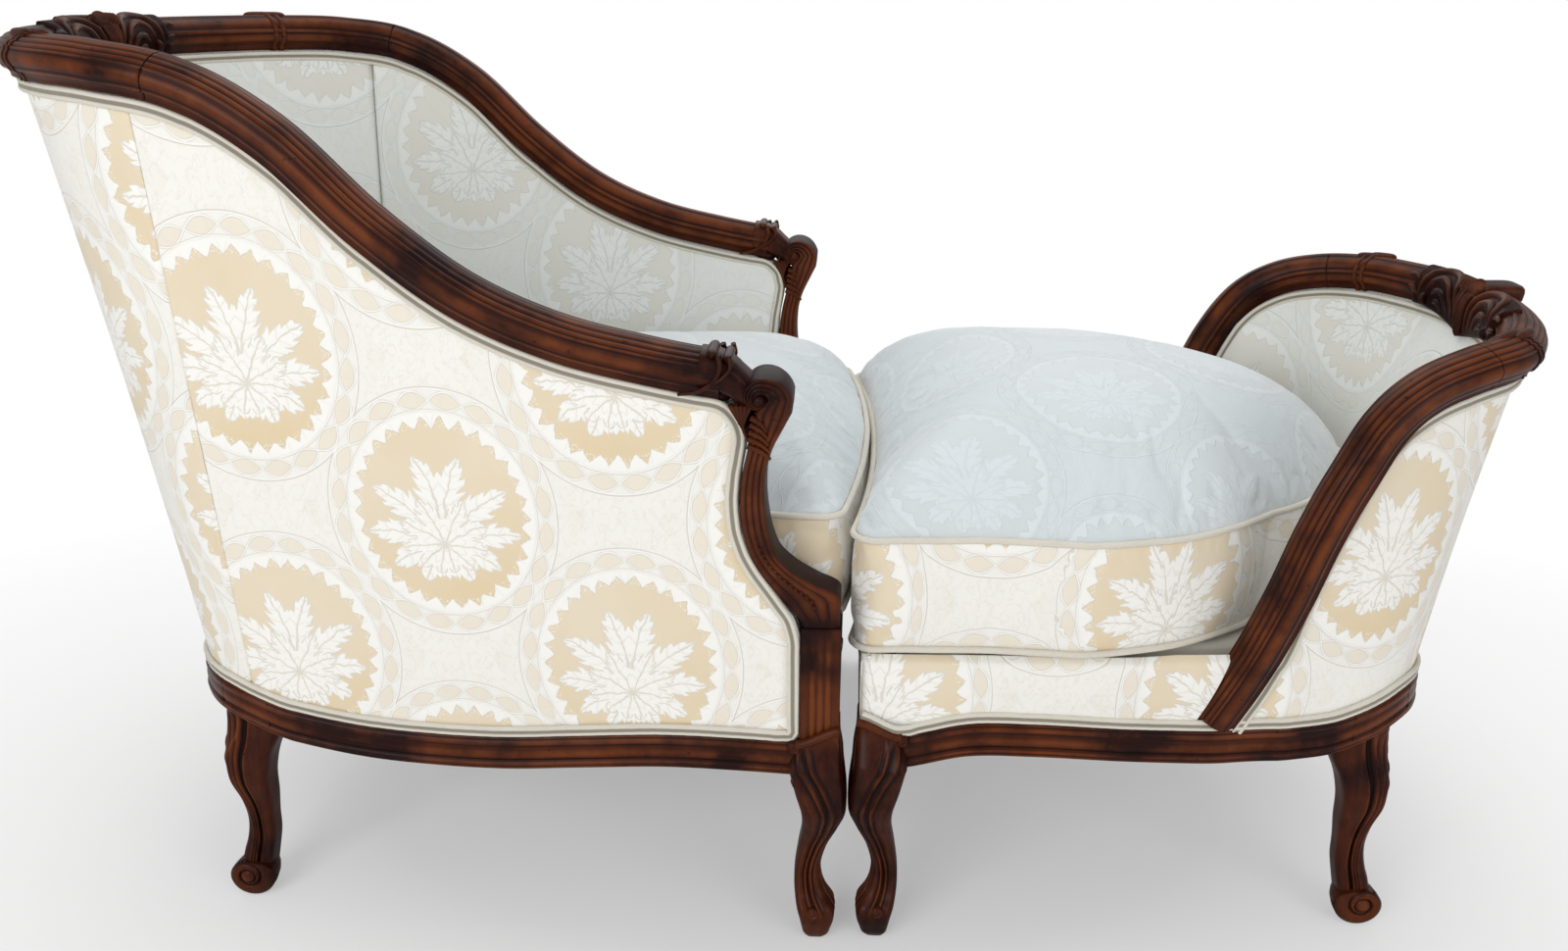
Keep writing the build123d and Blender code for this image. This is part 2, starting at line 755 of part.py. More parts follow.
class Cushion:
    """Boxed cushion with a crown above, a shallow one below, and sides that draw in."""

    def __init__(self, arcs, foot, seam, crown):
        self.arcs = arcs
        self.foot = foot
        self.seam = seam
        self.crown = crown
        xs = [x for piece in arcs for x, y in piece]
        ys = [y for piece in arcs for x, y in piece]
        self.centre = (min(xs) + max(xs)) / 2
        self.half_length = (max(xs) - min(xs)) / 2
        self.half_width = max(ys)

    def outline(self, inset, height):
        return cushion_outline(self.arcs, self.centre, self.half_length, self.half_width, inset, height)

    def body(self, inset):
        """The stuffed form, every face moved in by inset."""
        foot = self.foot + inset
        low_seam = self.foot + piping_radius * 2
        top_seam = self.seam
        middle = (low_seam + top_seam) / 2
        outlines = [self.outline(self.half_width * cushion_foot_share + inset, foot)]
        outlines.append(self.outline(inset, low_seam))
        outlines.append(self.outline(inset - boxing_bulge, middle))
        outlines.append(self.outline(inset, top_seam))
        for inset_share, height_share in crown_shares:
            rise = (self.crown - inset) * height_share
            outlines.append(self.outline(inset + self.half_width * inset_share, top_seam + rise))
        reach = 2 * (self.half_length + self.half_width)
        floor = box_between((self.centre - reach, -reach, foot - reach), (self.centre + reach, reach, foot))
        return loft_through(outlines).cut(floor)

    def piping(self, height):
        """Cord ring round the seam."""
        outlines = []
        for reach, rise in ((0, -piping_radius), (-piping_radius, 0), (0, piping_radius)):
            outlines.append(self.outline(reach - boxing_bulge, height + rise))
        ring = loft_through(outlines)
        plug_foot = self.outline(-boxing_bulge, height - overrun)
        plug_head = self.outline(-boxing_bulge, height + overrun)
        return ring.cut(loft_through([plug_foot, plug_head]))


crown_shares = ((0.04, 0.20), (0.11, 0.42), (0.21, 0.63), (0.34, 0.80), (0.50, 0.92), (0.68, 0.98),
                (0.86, 1.00))

# Parting line between the two cushions and their front corners
parting_middle = 20.0
parting_corner = 4.0
cushion_corner = 26.0
chair_cushion_front_share = 0.10
ottoman_cushion_half_width = 308.0
ottoman_cushion_straight = 240.0
ottoman_cushion_shoulder = (455.0, 205.0)
ottoman_cushion_shoulder_middle = (365.0, 270.0)
ottoman_cushion_rear_middle = (552.0, 115.0)
ottoman_cushion_rear = 592.0
drawn_in = 5.0
bow_middle_share = 0.72
hollow_middle_share = 0.76
chair_cushion_rear_shares = (0.92, 1.22, 1.5, 1.75, 2.0)


def both_sides(arcs):
    """A half plan from the middle of the front to the middle of the rear, and its mirror."""
    back = [tuple((x, -y) for x, y in reversed(piece)) for piece in reversed(arcs)]
    return list(arcs) + back


def chair_cushion_arcs():
    """Plan of the chair's cushion: bowed front, drawn-in sides and a rounded back."""
    middle_height = (chair_deck_height + chair_seam_height) / 2

    def spot(t):
        faces = [chair.pad_face(t, h) for h in (chair_deck_height, middle_height, chair_seam_height)]
        reach = min(faces) - cushion_clearance - piping_radius - boxing_bulge
        place = chair.point(t, reach, 0)
        return (place.X, place.Y)

    side_x, side_y = spot(chair_cushion_front_share)
    front = -parting_corner - piping_radius - boxing_bulge
    bow = parting_middle - piping_radius - boxing_bulge - part_gap / 2
    corner = cushion_corner
    bend = corner * (1 - diagonal_share)
    rear = [spot(t) for t in chair_cushion_rear_shares]
    rear_x, rear_y = rear[0]
    side_middle = ((front - corner + rear_x) / 2, (side_y + rear_y) / 2 - drawn_in)
    bow_middle = (front + (bow - front) * bow_middle_share, (side_y - corner) / 2)
    arcs = [
        ((bow, 0), bow_middle, (front, side_y - corner)),
        ((front, side_y - corner), (front - bend, side_y - bend), (front - corner, side_y)),
        ((front - corner, side_y), side_middle, (rear_x, rear_y)),
        (rear[0], rear[1], rear[2]),
        (rear[2], rear[3], rear[4]),
    ]
    return both_sides(arcs)


def ottoman_cushion_arcs():
    """Plan of the ottoman's cushion: hollow front, straight sides and a rounded rear."""
    half = ottoman_cushion_half_width
    front = -parting_corner + piping_radius + boxing_bulge + part_gap
    hollow = parting_middle + piping_radius + boxing_bulge + part_gap / 2
    corner = cushion_corner
    bend = corner * (1 - diagonal_share)
    side_middle = ((front + corner + ottoman_cushion_straight) / 2, half - drawn_in)
    hollow_middle = (front + (hollow - front) * hollow_middle_share, (half - corner) / 2)
    arcs = [
        ((hollow, 0), hollow_middle, (front, half - corner)),
        ((front, half - corner), (front + bend, half - bend), (front + corner, half)),
        ((front + corner, half), side_middle, (ottoman_cushion_straight, half)),
        ((ottoman_cushion_straight, half), ottoman_cushion_shoulder_middle, ottoman_cushion_shoulder),
        (ottoman_cushion_shoulder, ottoman_cushion_rear_middle, (ottoman_cushion_rear, 0)),
    ]
    return both_sides(arcs)


def spring_line(start, end, y, height):
    """One zigzag spring wire from front to back."""
    direction = 1 if end > start else -1
    length = abs(end - start)
    turns = int((length - 2 * spring_step) // spring_step)
    if turns % 2 == 1:
        turns -= 1
    lead = (length - turns * spring_step) / 2
    points = [(start, y), (start + direction * lead, y)]
    x = start + direction * lead
    side = 1
    corners = []
    for index in range(turns):
        corners.append((x, y + side * spring_half_swing))
        x += direction * spring_step
        corners.append((x, y + side * spring_half_swing))
        side = -side
    points += corners + [(x, y), (end, y)]
    lifted = [Vector(px, py, height) for px, py in points]
    path = FilletPolyline(*lifted, radius=spring_bend_radius)
    plane = Plane(origin=lifted[0], z_dir=(direction, 0, 0))
    circle = Face(Wire.make_circle(wire_diameter / 2, plane))
    return sweep(circle, path=path.wire()).solid()


def inner_front(wall):
    return wall.facing * (stile_setback + stile_depth)


def back_inner_x(wall, y):
    """Plan x of the back rail's inner face at this y."""
    best = None
    for t in steps(1, back_middle_share, back_face_samples):
        spot = wall.point(t, wall.ledge_reach(t) - seat_rail_thickness, 0)
        if best is None or abs(spot.Y - y) < abs(best.Y - y):
            best = spot
    return best.X


def spring_places(wall):
    span = (wall.ledge_reach(1) - seat_rail_thickness) * spring_span_share
    return [span * (index / (spring_count - 1) - 0.5) for index in range(spring_count)]


def springs_and_clips(wall):
    """The spring wires and the steel clips that hold their ends to the rails."""
    wires = []
    clips = []
    height = wall.strip_height - clip_height / 2
    for y in spring_places(wall):
        front = inner_front(wall) + wall.facing * (clip_thickness + 2 * fit_gap)
        rear_face = back_inner_x(wall, abs(y) + clip_width / 2)
        rear = rear_face - wall.facing * (clip_thickness + 2 * fit_gap + part_gap)
        wires.append(spring_line(front, rear, y, height))
        for base, way in ((front, wall.facing), (rear, -wall.facing)):
            near = base - way * fit_gap
            far = base - way * (clip_thickness + fit_gap)
            low = (min(near, far), y - clip_width / 2, height - clip_height / 2)
            high = (max(near, far), y + clip_width / 2, height + clip_height / 2)
            clips.append(box_between(low, high))
    return wires, clips


shapes = {}


def add(name, shape):
    shapes[name] = shape


def add_pair(name, shape):
    """The sitter faces the ottoman, so the left side is +y."""
    add(name + "_left", shape)
    add(name + "_right", mirrored(shape))


def build_frame(wall, name, leg_start, leg_end):
    """Legs, seat rails, corner blocks and their screws."""
    front = front_leg(wall)
    rear = rear_leg(wall, leg_start, leg_end)
    rail_start = (stile_setback + stile_depth) / wall.reach
    side = side_loft(seat_rail_outline, wall, rail_start, leg_start).cut(front, rear)
    head = front_rail(wall).cut(front, mirrored(front))
    back = back_loft(seat_rail_outline, wall, leg_end).cut(rear, mirrored(rear))
    blocks = []
    screws = []
    holes = []
    for block, lines in (front_block(wall), rear_block(wall, leg_start, leg_end)):
        bores = [screw(head_point, tip, screw_hole_clearance) for head_point, tip in lines]
        blocks.append(block.cut(*bores))
        screws += [screw(head_point, tip, 0) for head_point, tip in lines]
        holes += bores
    far_holes = [mirrored(hole) for hole in holes]
    add_pair(name + "_front_leg", front)
    add_pair(name + "_rear_leg", rear)
    add(name + "_front_rail", head.cut(*holes, *far_holes))
    add_pair(name + "_side_rail", side.cut(*holes))
    add(name + "_back_rail", back.cut(*holes, *far_holes))
    add(name + "_front_border", front_border(wall))
    add(name + "_corner_blocks", Compound(children=blocks + [mirrored(block) for block in blocks]))
    add(name + "_block_screws", Compound(children=screws + [mirrored(one) for one in screws]))
    return front, rear


def build_deck(wall, name, legs):
    """Dust cover, springs, hessian and deck pad inside the seat frame."""
    start = (stile_setback + stile_depth + fit_gap) / wall.reach
    inside = seat_rail_thickness + 2 * part_gap
    dust_level = wall.ledge_height - show_height * dust_level_share
    dust_cover = plate_from(plan_points(wall, start, inside), dust_level, dust_cover_thickness)
    add(name + "_dust_cover", dust_cover.cut(*legs, *[mirrored(leg) for leg in legs]))
    wires, clips = springs_and_clips(wall)
    add(name + "_springs", Compound(children=wires))
    add(name + "_spring_clips", Compound(children=clips))
    over = cover_setback + cover_thickness + core_thickness
    hessian = wall.strip_height + fit_gap
    add(name + "_hessian", plate_from(plan_points(wall, start, over), hessian, sheet_thickness))
    pad_inset = over + pad_foot_thickness + deck_pad_ease
    pad_foot = hessian + sheet_thickness + fit_gap
    add(name + "_deck_pad", plate_from(plan_points(wall, start, pad_inset), pad_foot,
                                       wall.deck_height - pad_foot))


chair.front_ankle = chair_front_ankle
chair.rear_ankle = chair_rear_ankle
chair.stile_top = stile_top
chair.stile_covered = False
ottoman.front_ankle = ottoman_front_ankle
ottoman.rear_ankle = ottoman_rear_ankle
ottoman.stile_top = ottoman_strip_height
ottoman.stile_covered = True

chair_legs = build_frame(chair, "chair", chair_leg_start_share, chair_leg_end_share)
ottoman_legs = build_frame(ottoman, "ottoman", ottoman_leg_start_share, ottoman_leg_end_share)
build_deck(chair, "chair", chair_legs)
build_deck(ottoman, "ottoman", ottoman_legs)

# Chair rails, supports and back posts
chair_arm = arm_rail()
trim = support_trim()
add_pair("chair_arm_rail", chair_arm)
add("chair_crest_rail", back_loft(rail_outline, chair, chair_joint_share))
add_pair("chair_arm_support", support_post().cut(chair_arm))
post_end_share = chair_leg_start_share + post_width_share
back_post = side_loft(post_outline, chair, chair_leg_start_share, post_end_share)
add("chair_back_posts", Compound(children=[back_post, mirrored(back_post)]))

# Chair upholstery
side_start_share = (stile_setback + stile_depth + fit_gap) / chair_pole_reach
welt_start_share = chair_arm_start_share + 0.04
chair_side_cover = side_loft(cover_outline, chair, side_start_share, chair_pad_joint_share)
chair_side_pad = side_loft(pad_outline, chair, side_start_share, chair_pad_joint_share)
add_pair("chair_outside_cover", chair_side_cover.cut(trim, chair_arm))
add("chair_outside_cover_back", back_loft(cover_outline, chair, chair_pad_joint_share))
add_pair("chair_inside_pad", chair_side_pad.cut(trim, chair_arm))
add("chair_inside_pad_back", back_loft(pad_outline, chair, chair_pad_joint_share))
add("chair_bottom_welt", back_loft(bottom_welt_outline, chair, side_start_share))
add("chair_top_welt", back_loft(top_welt_outline, chair, welt_start_share))
add("chair_inner_welt", back_loft(inner_welt_outline, chair, welt_start_share))

# Ottoman rails and upholstery
ottoman_band_start_share = (border_back_reach() - border_thickness) / ottoman_pole_reach
ottoman_foot_level = ottoman.ledge_level(ottoman_arm_start_share) + fit_gap
foot_box = box_between((ottoman_pole_reach * ottoman_foot_box_share, 0, 0),
                       (ottoman_pole_reach, chair_half_width, ottoman_foot_level))
ottoman_arm = side_loft(rail_outline, ottoman, ottoman_arm_start_share, ottoman_joint_share).cut(foot_box)
add_pair("ottoman_arm_rail", ottoman_arm)
add("ottoman_crest_rail", back_loft(rail_outline, ottoman, ottoman_joint_share))
add_pair("ottoman_side_band", side_loft(band_outline, ottoman, ottoman_band_start_share,
                                        ottoman_band_end_share))
ottoman_arms = (ottoman_arm, mirrored(ottoman_arm))
ottoman_sides = (shapes["ottoman_side_rail_left"], shapes["ottoman_side_rail_right"])
ottoman_cover = back_loft(cover_outline, ottoman, ottoman_cover_start_share)
ottoman_cover = ottoman_cover.cut(*ottoman_arms, *ottoman_sides)
add("ottoman_outside_cover", ottoman_cover)
add("ottoman_inside_pad", back_loft(pad_outline, ottoman, ottoman_pad_start_share).cut(*ottoman_arms))
ottoman_welt = back_loft(bottom_welt_outline, ottoman, ottoman_band_start_share)
add("ottoman_bottom_welt", ottoman_welt.cut(*ottoman_arms, *ottoman_sides, ottoman_cover))

# The ottoman's arm rails are housed into the seat rails and the deck
notch_start, notch_end = [ottoman_pole_reach * share for share in ottoman_notch_shares]
notch = box_between((notch_start, ottoman_notch_inner, ottoman_foot_level - fit_gap),
                    (notch_end, chair_half_width, ottoman_deck_height))
for node in ("ottoman_side_rail_left", "ottoman_side_rail_right", "ottoman_hessian", "ottoman_deck_pad"):
    shapes[node] = shapes[node].cut(notch, mirrored(notch))

# Cushions
chair_cushion = Cushion(chair_cushion_arcs(), chair_deck_height + fit_gap, chair_seam_height, chair_crown)
ottoman_cushion = Cushion(ottoman_cushion_arcs(), ottoman_deck_height + fit_gap, ottoman_seam_height,
                          ottoman_crown)
add("chair_cushion", chair_cushion.body(0))
add("chair_cushion_piping", chair_cushion.piping(chair_seam_height))
add("ottoman_cushion", ottoman_cushion.body(0))
add("ottoman_cushion_piping", ottoman_cushion.piping(ottoman_seam_height))

# The origin goes to the floor below the middle of the pair
back_end = chair_pole_reach + chair.rail_reach(back_middle_share) + rail_half_width
foot_end = ottoman_pole_reach + ottoman.rail_reach(back_middle_share) + rail_half_width
to_middle = Location(Vector((back_end - foot_end) / 2, 0, 0))

for name, shape in shapes.items():
    export_step(shape.moved(to_middle), f"parts/{name}.step")
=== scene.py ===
import math

import bpy
import numpy as np
from mathutils import Matrix, Vector


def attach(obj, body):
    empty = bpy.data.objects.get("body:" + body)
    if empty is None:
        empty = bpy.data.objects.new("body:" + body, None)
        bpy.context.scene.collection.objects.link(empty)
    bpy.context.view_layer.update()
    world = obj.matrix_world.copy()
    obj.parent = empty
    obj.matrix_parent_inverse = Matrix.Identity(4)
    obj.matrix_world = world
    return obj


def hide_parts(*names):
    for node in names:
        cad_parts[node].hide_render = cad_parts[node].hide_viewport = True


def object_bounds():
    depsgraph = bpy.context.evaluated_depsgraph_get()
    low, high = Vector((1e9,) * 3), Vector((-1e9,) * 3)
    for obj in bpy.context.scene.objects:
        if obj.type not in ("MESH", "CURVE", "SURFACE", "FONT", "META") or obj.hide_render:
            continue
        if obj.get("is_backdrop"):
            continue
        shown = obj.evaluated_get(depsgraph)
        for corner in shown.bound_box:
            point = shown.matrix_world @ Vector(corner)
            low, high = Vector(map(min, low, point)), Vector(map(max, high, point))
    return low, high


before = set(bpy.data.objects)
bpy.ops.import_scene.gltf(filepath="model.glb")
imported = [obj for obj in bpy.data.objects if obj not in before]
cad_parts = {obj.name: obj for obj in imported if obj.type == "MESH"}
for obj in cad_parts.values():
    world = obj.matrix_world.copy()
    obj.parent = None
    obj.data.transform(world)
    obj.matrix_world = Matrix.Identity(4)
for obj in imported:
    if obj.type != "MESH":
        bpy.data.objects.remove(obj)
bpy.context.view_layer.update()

# Working sizes, in metres from the plane where the chair and the ottoman meet
ORIGIN_X = 0.07796
RAIL_A, RAIL_B = 0.026, 0.022
STILE_TOP = 0.400
MEDALLION = (0.376, 0.342)

# Camera
pitch, yaw = 0.3643614, -0.0567129
cam_data = bpy.data.cameras.new("camera")
cam_data.lens = 30.375
cam_data.sensor_width = 36
camera = bpy.data.objects.new("camera", cam_data)
bpy.context.scene.collection.objects.link(camera)
right = (math.cos(yaw), -math.sin(yaw), 0)
upward = (math.sin(yaw) * math.sin(pitch), math.cos(yaw) * math.sin(pitch), math.cos(pitch))
ahead = (math.sin(yaw) * math.cos(pitch), math.cos(yaw) * math.cos(pitch), -math.sin(pitch))
camera_place = (0.0006 + ORIGIN_X, -1.5656, 1.0411)
camera.matrix_world = Matrix([[right[i], upward[i], -ahead[i], camera_place[i]] for i in range(3)]
                             + [[0, 0, 0, 1]])
bpy.context.scene.camera = camera
bpy.context.scene.view_settings.view_transform = "Standard"


# ---- Walls: the same tables as the source, in metres ----
def hermite(xs, ys, x):
    """Smooth table reading, level past the last row by symmetry."""
    xs = np.concatenate([xs, (2 * xs[-1] - xs[:-1])[::-1]])
    ys = np.concatenate([ys, ys[:-1][::-1]])
    i = np.clip(np.searchsorted(xs, x, side="right") - 1, 0, len(xs) - 2)
    before, after = np.maximum(i - 1, 0), np.minimum(i + 2, len(xs) - 1)
    span = xs[i + 1] - xs[i]
    s = (x - xs[i]) / span
    d0 = (ys[i + 1] - ys[before]) / (xs[i + 1] - xs[before]) * span
    d1 = (ys[after] - ys[i]) / (xs[after] - xs[i]) * span
    return (ys[i] * (2 * s**3 - 3 * s**2 + 1) + ys[i + 1] * (3 * s**2 - 2 * s**3)
            + d0 * (s**3 - 2 * s**2 + s) + d1 * (s**3 - s**2))


class Wall:
    """Upholstered wall with its rail and ledge; t runs 0 to 2 on the left (+y) and on to 4 on the right."""

    def __init__(self, facing, reach, half, crest, ledge, strip, deck, rows, crowns):
        rows = np.array(rows)
        self.facing, self.reach, self.strip, self.deck, self.crowns = facing, reach, strip, deck, crowns
        self.tt = np.linspace(0, 2, 2001)
        table = [hermite(rows[:, 0], rows[:, k], self.tt) for k in range(1, 5)]
        self.rr, self.rh, self.lr, self.ll = table[0] * half, table[1] * crest, table[2] * half, table[3] * ledge
        step = 0.004
        ahead_p, behind_p = (self.at(np.abs(t), self.look(self.rr, t), self.look(self.rh, t))
                             for t in (self.tt + step, self.tt - step))
        out = self.out(self.tt)
        run = ahead_p - behind_p
        run = run - out * (run * out).sum(-1, keepdims=True)
        run[0] = run[8]
        n = np.cross(out, run)
        n /= np.linalg.norm(n, axis=-1, keepdims=True)
        self.nn = n * np.sign(n[:, 2:3])
        self.nz = self.nn[:, 2]

    def fold(self, t):
        return np.clip(np.where(t > 2, 4 - t, t), 0, 2)

    def look(self, table, t):
        return np.interp(self.fold(t), self.tt, table)

    def side(self, t):
        return np.where(t > 2, -1.0, 1.0)

    def turn(self, t):
        return math.pi / 2 * np.maximum(self.fold(t) - 1, 0)

    def at(self, t, reach, z):
        t, reach, z = np.broadcast_arrays(np.asarray(t, float), reach, z)
        a = self.turn(t)
        x = self.facing * (self.reach * np.minimum(self.fold(t), 1) + reach * np.sin(a))
        return np.stack([x + ORIGIN_X, reach * np.cos(a) * self.side(t), z], -1)

    def out(self, t):
        a = self.turn(np.asarray(t, float))
        return np.stack([self.facing * np.sin(a), np.cos(a) * self.side(t), a * 0], -1)

    def up(self, t):
        n = np.stack([np.interp(self.fold(t), self.tt, self.nn[:, k]) for k in range(3)], -1)
        n[..., 1] *= self.side(t)
        return n

    def rail(self, t, a, b):
        """Point of the rail, a outward from its middle and b square to its run."""
        t, a, b = np.broadcast_arrays(np.asarray(t, float), a, b)
        middle = self.at(t, self.look(self.rr, t), self.look(self.rh, t))
        return middle + self.out(t) * a[..., None] + self.up(t) * b[..., None]

    def head(self, t):
        return self.look(self.rh, t) - (RAIL_B + 0.0009) / self.look(self.nz, t)

    def cover(self, t, z):
        foot = self.look(self.lr, t) - 0.008
        top = np.maximum(self.look(self.rr, t) + 0.008, foot)
        ledge = self.look(self.ll, t)
        rise = np.maximum(self.look(self.rh, t) - ledge, 0.150)
        return foot + (top - foot) * (z - ledge) / rise

    def pad(self, t, z, blend_at=(0.8, 1.5)):
        foot, head = self.deck - 0.014, self.head(t)
        share = np.clip((z - foot) / (head - foot), 0, 1)
        mix = np.clip((self.fold(t) - blend_at[0]) / (blend_at[1] - blend_at[0]), 0, 1)
        crown = self.crowns[0] + (self.crowns[1] - self.crowns[0]) * mix
        return self.cover(t, z) - 0.016 - (0.016 - 0.009 * share) - crown * 4 * share * (1 - share)

    def run_length(self, t):
        """Distance round the wall, for the cloth's pattern."""
        f = self.fold(t)
        d = self.reach * np.minimum(f, 1) + np.maximum(f - 1, 0) * math.pi / 2 * 0.29
        whole = self.reach + math.pi / 2 * 0.29
        return np.where(np.asarray(t) > 2, 2 * whole - d, d)


chair = Wall(-1, 0.628, 0.340, 0.966, 0.262, 0.312, 0.380, (
    (0.000, 1.000, 0.690, 0.982, 0.977), (0.188, 1.000, 0.700, 0.982, 1.000), (0.322, 1.000, 0.715, 0.974, 1.000),
    (0.467, 1.000, 0.739, 0.962, 0.973), (0.607, 1.000, 0.781, 0.947, 0.943), (0.740, 1.000, 0.848, 0.932, 0.939),
    (0.869, 0.994, 0.929, 0.915, 0.954), (1.000, 0.982, 0.977, 0.897, 1.004), (1.167, 0.971, 0.994, 0.868, 1.090),
    (1.328, 0.941, 0.998, 0.771, 1.070), (1.500, 0.897, 0.999, 0.668, 1.023), (1.744, 0.824, 1.000, 0.580, 1.000),
    (2.000, 0.788, 1.000, 0.553, 1.000)), (0.016, 0.034))
ottoman = Wall(1, 0.500, 0.300, 0.674, 0.275, 0.318, 0.355, (
    (0.000, 1.000, 0.300, 1.060, 0.940), (0.120, 1.000, 0.300, 1.060, 0.953), (0.260, 1.000, 0.300, 1.050, 1.007),
    (0.400, 1.000, 0.300, 1.040, 1.007), (0.600, 1.000, 0.310, 1.020, 0.985), (0.760, 0.930, 0.370, 1.004, 0.975),
    (0.810, 0.945, 0.440, 0.998, 0.975), (0.864, 0.962, 0.535, 0.983, 0.975), (0.910, 0.975, 0.638, 0.973, 0.975),
    (0.950, 0.980, 0.742, 0.967, 0.975), (1.000, 0.970, 0.835, 0.957, 0.982), (1.070, 0.932, 0.914, 0.947, 0.996),
    (1.167, 0.903, 0.961, 0.935, 1.040), (1.294, 0.897, 0.985, 0.890, 1.080), (1.444, 0.899, 0.994, 0.800, 1.050),
    (1.600, 0.860, 0.997, 0.703, 1.015), (1.800, 0.816, 1.000, 0.632, 1.000), (2.000, 0.800, 1.000, 0.610, 1.000)),
    (0.020, 0.020))


# ---- Mesh making ----
class Build:
    """Collects grids of points into one mesh, uv in metres, and a wear value: wear, painted shade, highlight."""

    def __init__(self):
        self.verts, self.faces, self.uvs, self.wear, self.count = [], [], [], [], 0

    def grid(self, points, uv=None, wear=None, ring=False, loop=False, caps=False, flip=False):
        """points (n, m, 3); ring joins the m direction round, loop the n direction; caps close both ends."""
        n, m = points.shape[:2]
        if uv is None:
            du = np.linalg.norm(np.diff(points, axis=0), axis=-1).mean(1)
            dv = np.linalg.norm(np.diff(points, axis=1), axis=-1).mean(0)
            u = np.concatenate([[0], np.cumsum(du)])
            v = np.concatenate([[0], np.cumsum(dv)])
            uv = np.stack(np.meshgrid(u, v, indexing="ij"), -1)
        if ring:
            step = uv[:, -1:] * 2 - uv[:, -2:-1]
            uv = np.concatenate([uv, step], 1)
        if loop:
            uv = np.concatenate([uv, uv[-1:] * 2 - uv[-2:-1]], 0)
        wear = np.zeros((n, m)) if wear is None else np.broadcast_to(wear, (n, m))
        i, j = np.meshgrid(np.arange(n if loop else n - 1), np.arange(m if ring else m - 1), indexing="ij")
        i, j = i.ravel(), j.ravel()
        i2, j2 = i + 1, j + 1
        corners = [(i, j), (i2, j), (i2, j2), (i, j2)]
        if flip:
            corners = corners[::-1]
        faces = np.stack([(a % n) * m + b % m for a, b in corners], -1) + self.count
        face_uv = np.stack([uv[a, b] for a, b in corners], 1)
        self.verts.append(points.reshape(-1, 3))
        self.wear.append(wear.reshape(-1))
        self.faces += faces.tolist()
        self.uvs.append(face_uv.reshape(-1, 2))
        base = self.count
        self.count += n * m
        if caps:
            for row, turn in ((0, 1), (n - 1, -1)):
                ids = (np.arange(m) + row * m + base)[::turn]
                middle = points[row].mean(0)
                self.verts.append(middle[None])
                self.wear.append(wear[row].mean()[None])
                for a, b in zip(ids, np.roll(ids, -1)):
                    self.faces.append([int(b), int(a), self.count] if not flip else [int(a), int(b), self.count])
                    self.uvs.append(np.zeros((3, 2)) + uv[row, 0])
                self.count += 1
        return self

    def mirror(self):
        """Adds the other side's copy."""
        verts = np.concatenate(self.verts)
        uvs = np.concatenate(self.uvs)
        self.verts.append(verts * np.array([1, -1, 1]))
        self.wear.append(np.concatenate(self.wear))
        start = 0
        extra, extra_uv = [], []
        for face in self.faces:
            extra.append([k + self.count for k in face[::-1]])
            extra_uv.append(uvs[start:start + len(face)][::-1])
            start += len(face)
        self.faces += extra
        self.uvs.append(np.concatenate(extra_uv))
        self.count *= 2
        return self

    def make(self, name, material, body, slot, replaces=(), pad=None, sharp=None, sign=1):
        verts = np.concatenate(self.verts) * np.array([1, sign, 1])
        faces = self.faces if sign > 0 else [f[::-1] for f in self.faces]
        mesh = bpy.data.meshes.new(name)
        mesh.from_pydata(verts.tolist(), [], faces)
        uvs = np.concatenate(self.uvs)
        if sign < 0:
            sizes = np.array([len(f) for f in faces])
            ends = np.cumsum(sizes)
            order = np.concatenate([np.arange(e - 1, e - s - 1, -1) for e, s in zip(ends, sizes)])
            uvs = uvs[order]
        layer = mesh.uv_layers.new(name="cloth")
        layer.data.foreach_set("uv", uvs.ravel().astype(np.float32))
        # high values: rubbed wood, partly painted highlight; low: painted shade on wood; below zero: painted shade
        # lines on cloth
        attribute = mesh.attributes.new("wear", "FLOAT", "POINT")
        attribute.data.foreach_set("value", np.concatenate(self.wear).astype(np.float32))
        mesh.materials.append(material)
        mesh.polygons.foreach_set("use_smooth", [True] * len(mesh.polygons))
        if sharp:
            mesh.set_sharp_from_angle(angle=math.radians(sharp))
        obj = bpy.data.objects.new(name, mesh)
        bpy.context.scene.collection.objects.link(obj)
        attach(obj, body)
        if replaces:
            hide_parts(*replaces)
        return obj


def run_along(points):
    """Length along a line of points up to each of them."""
    return np.concatenate([[0], np.cumsum(np.linalg.norm(np.diff(points, axis=0), axis=1))])


def full_turn(count):
    """Angles round a circle, without the last."""
    return np.linspace(0, 2 * math.pi, count, endpoint=False)


def chain(points, bulges, per=7):
    """Closed moulding section: each side is a small arc that bulges by so many millimetres."""
    points = np.array(points, float)
    spots, wear = [], []
    for index, bulge in enumerate(bulges):
        a, b = points[index], points[(index + 1) % len(points)]
        way = b - a
        square = np.array([way[1], -way[0]]) / np.linalg.norm(way)
        count = per if abs(bulge) > 0.01 else 2
        for k in range(count):
            s = k / count
            lift = 4 * s * (1 - s)
            spots.append(a + way * s + square * bulge * lift)
            # bead crests get high values (rubbed, partly painted highlight); the arc ends, the grooves, get zero:
            # painted shade
            wear.append(lift if bulge > 0 else 0.35)
    return np.array(spots) / 1000, np.array(wear)


def smooth(x):
    x = np.clip(x, 0, 1)
    return x * x * (3 - 2 * x)


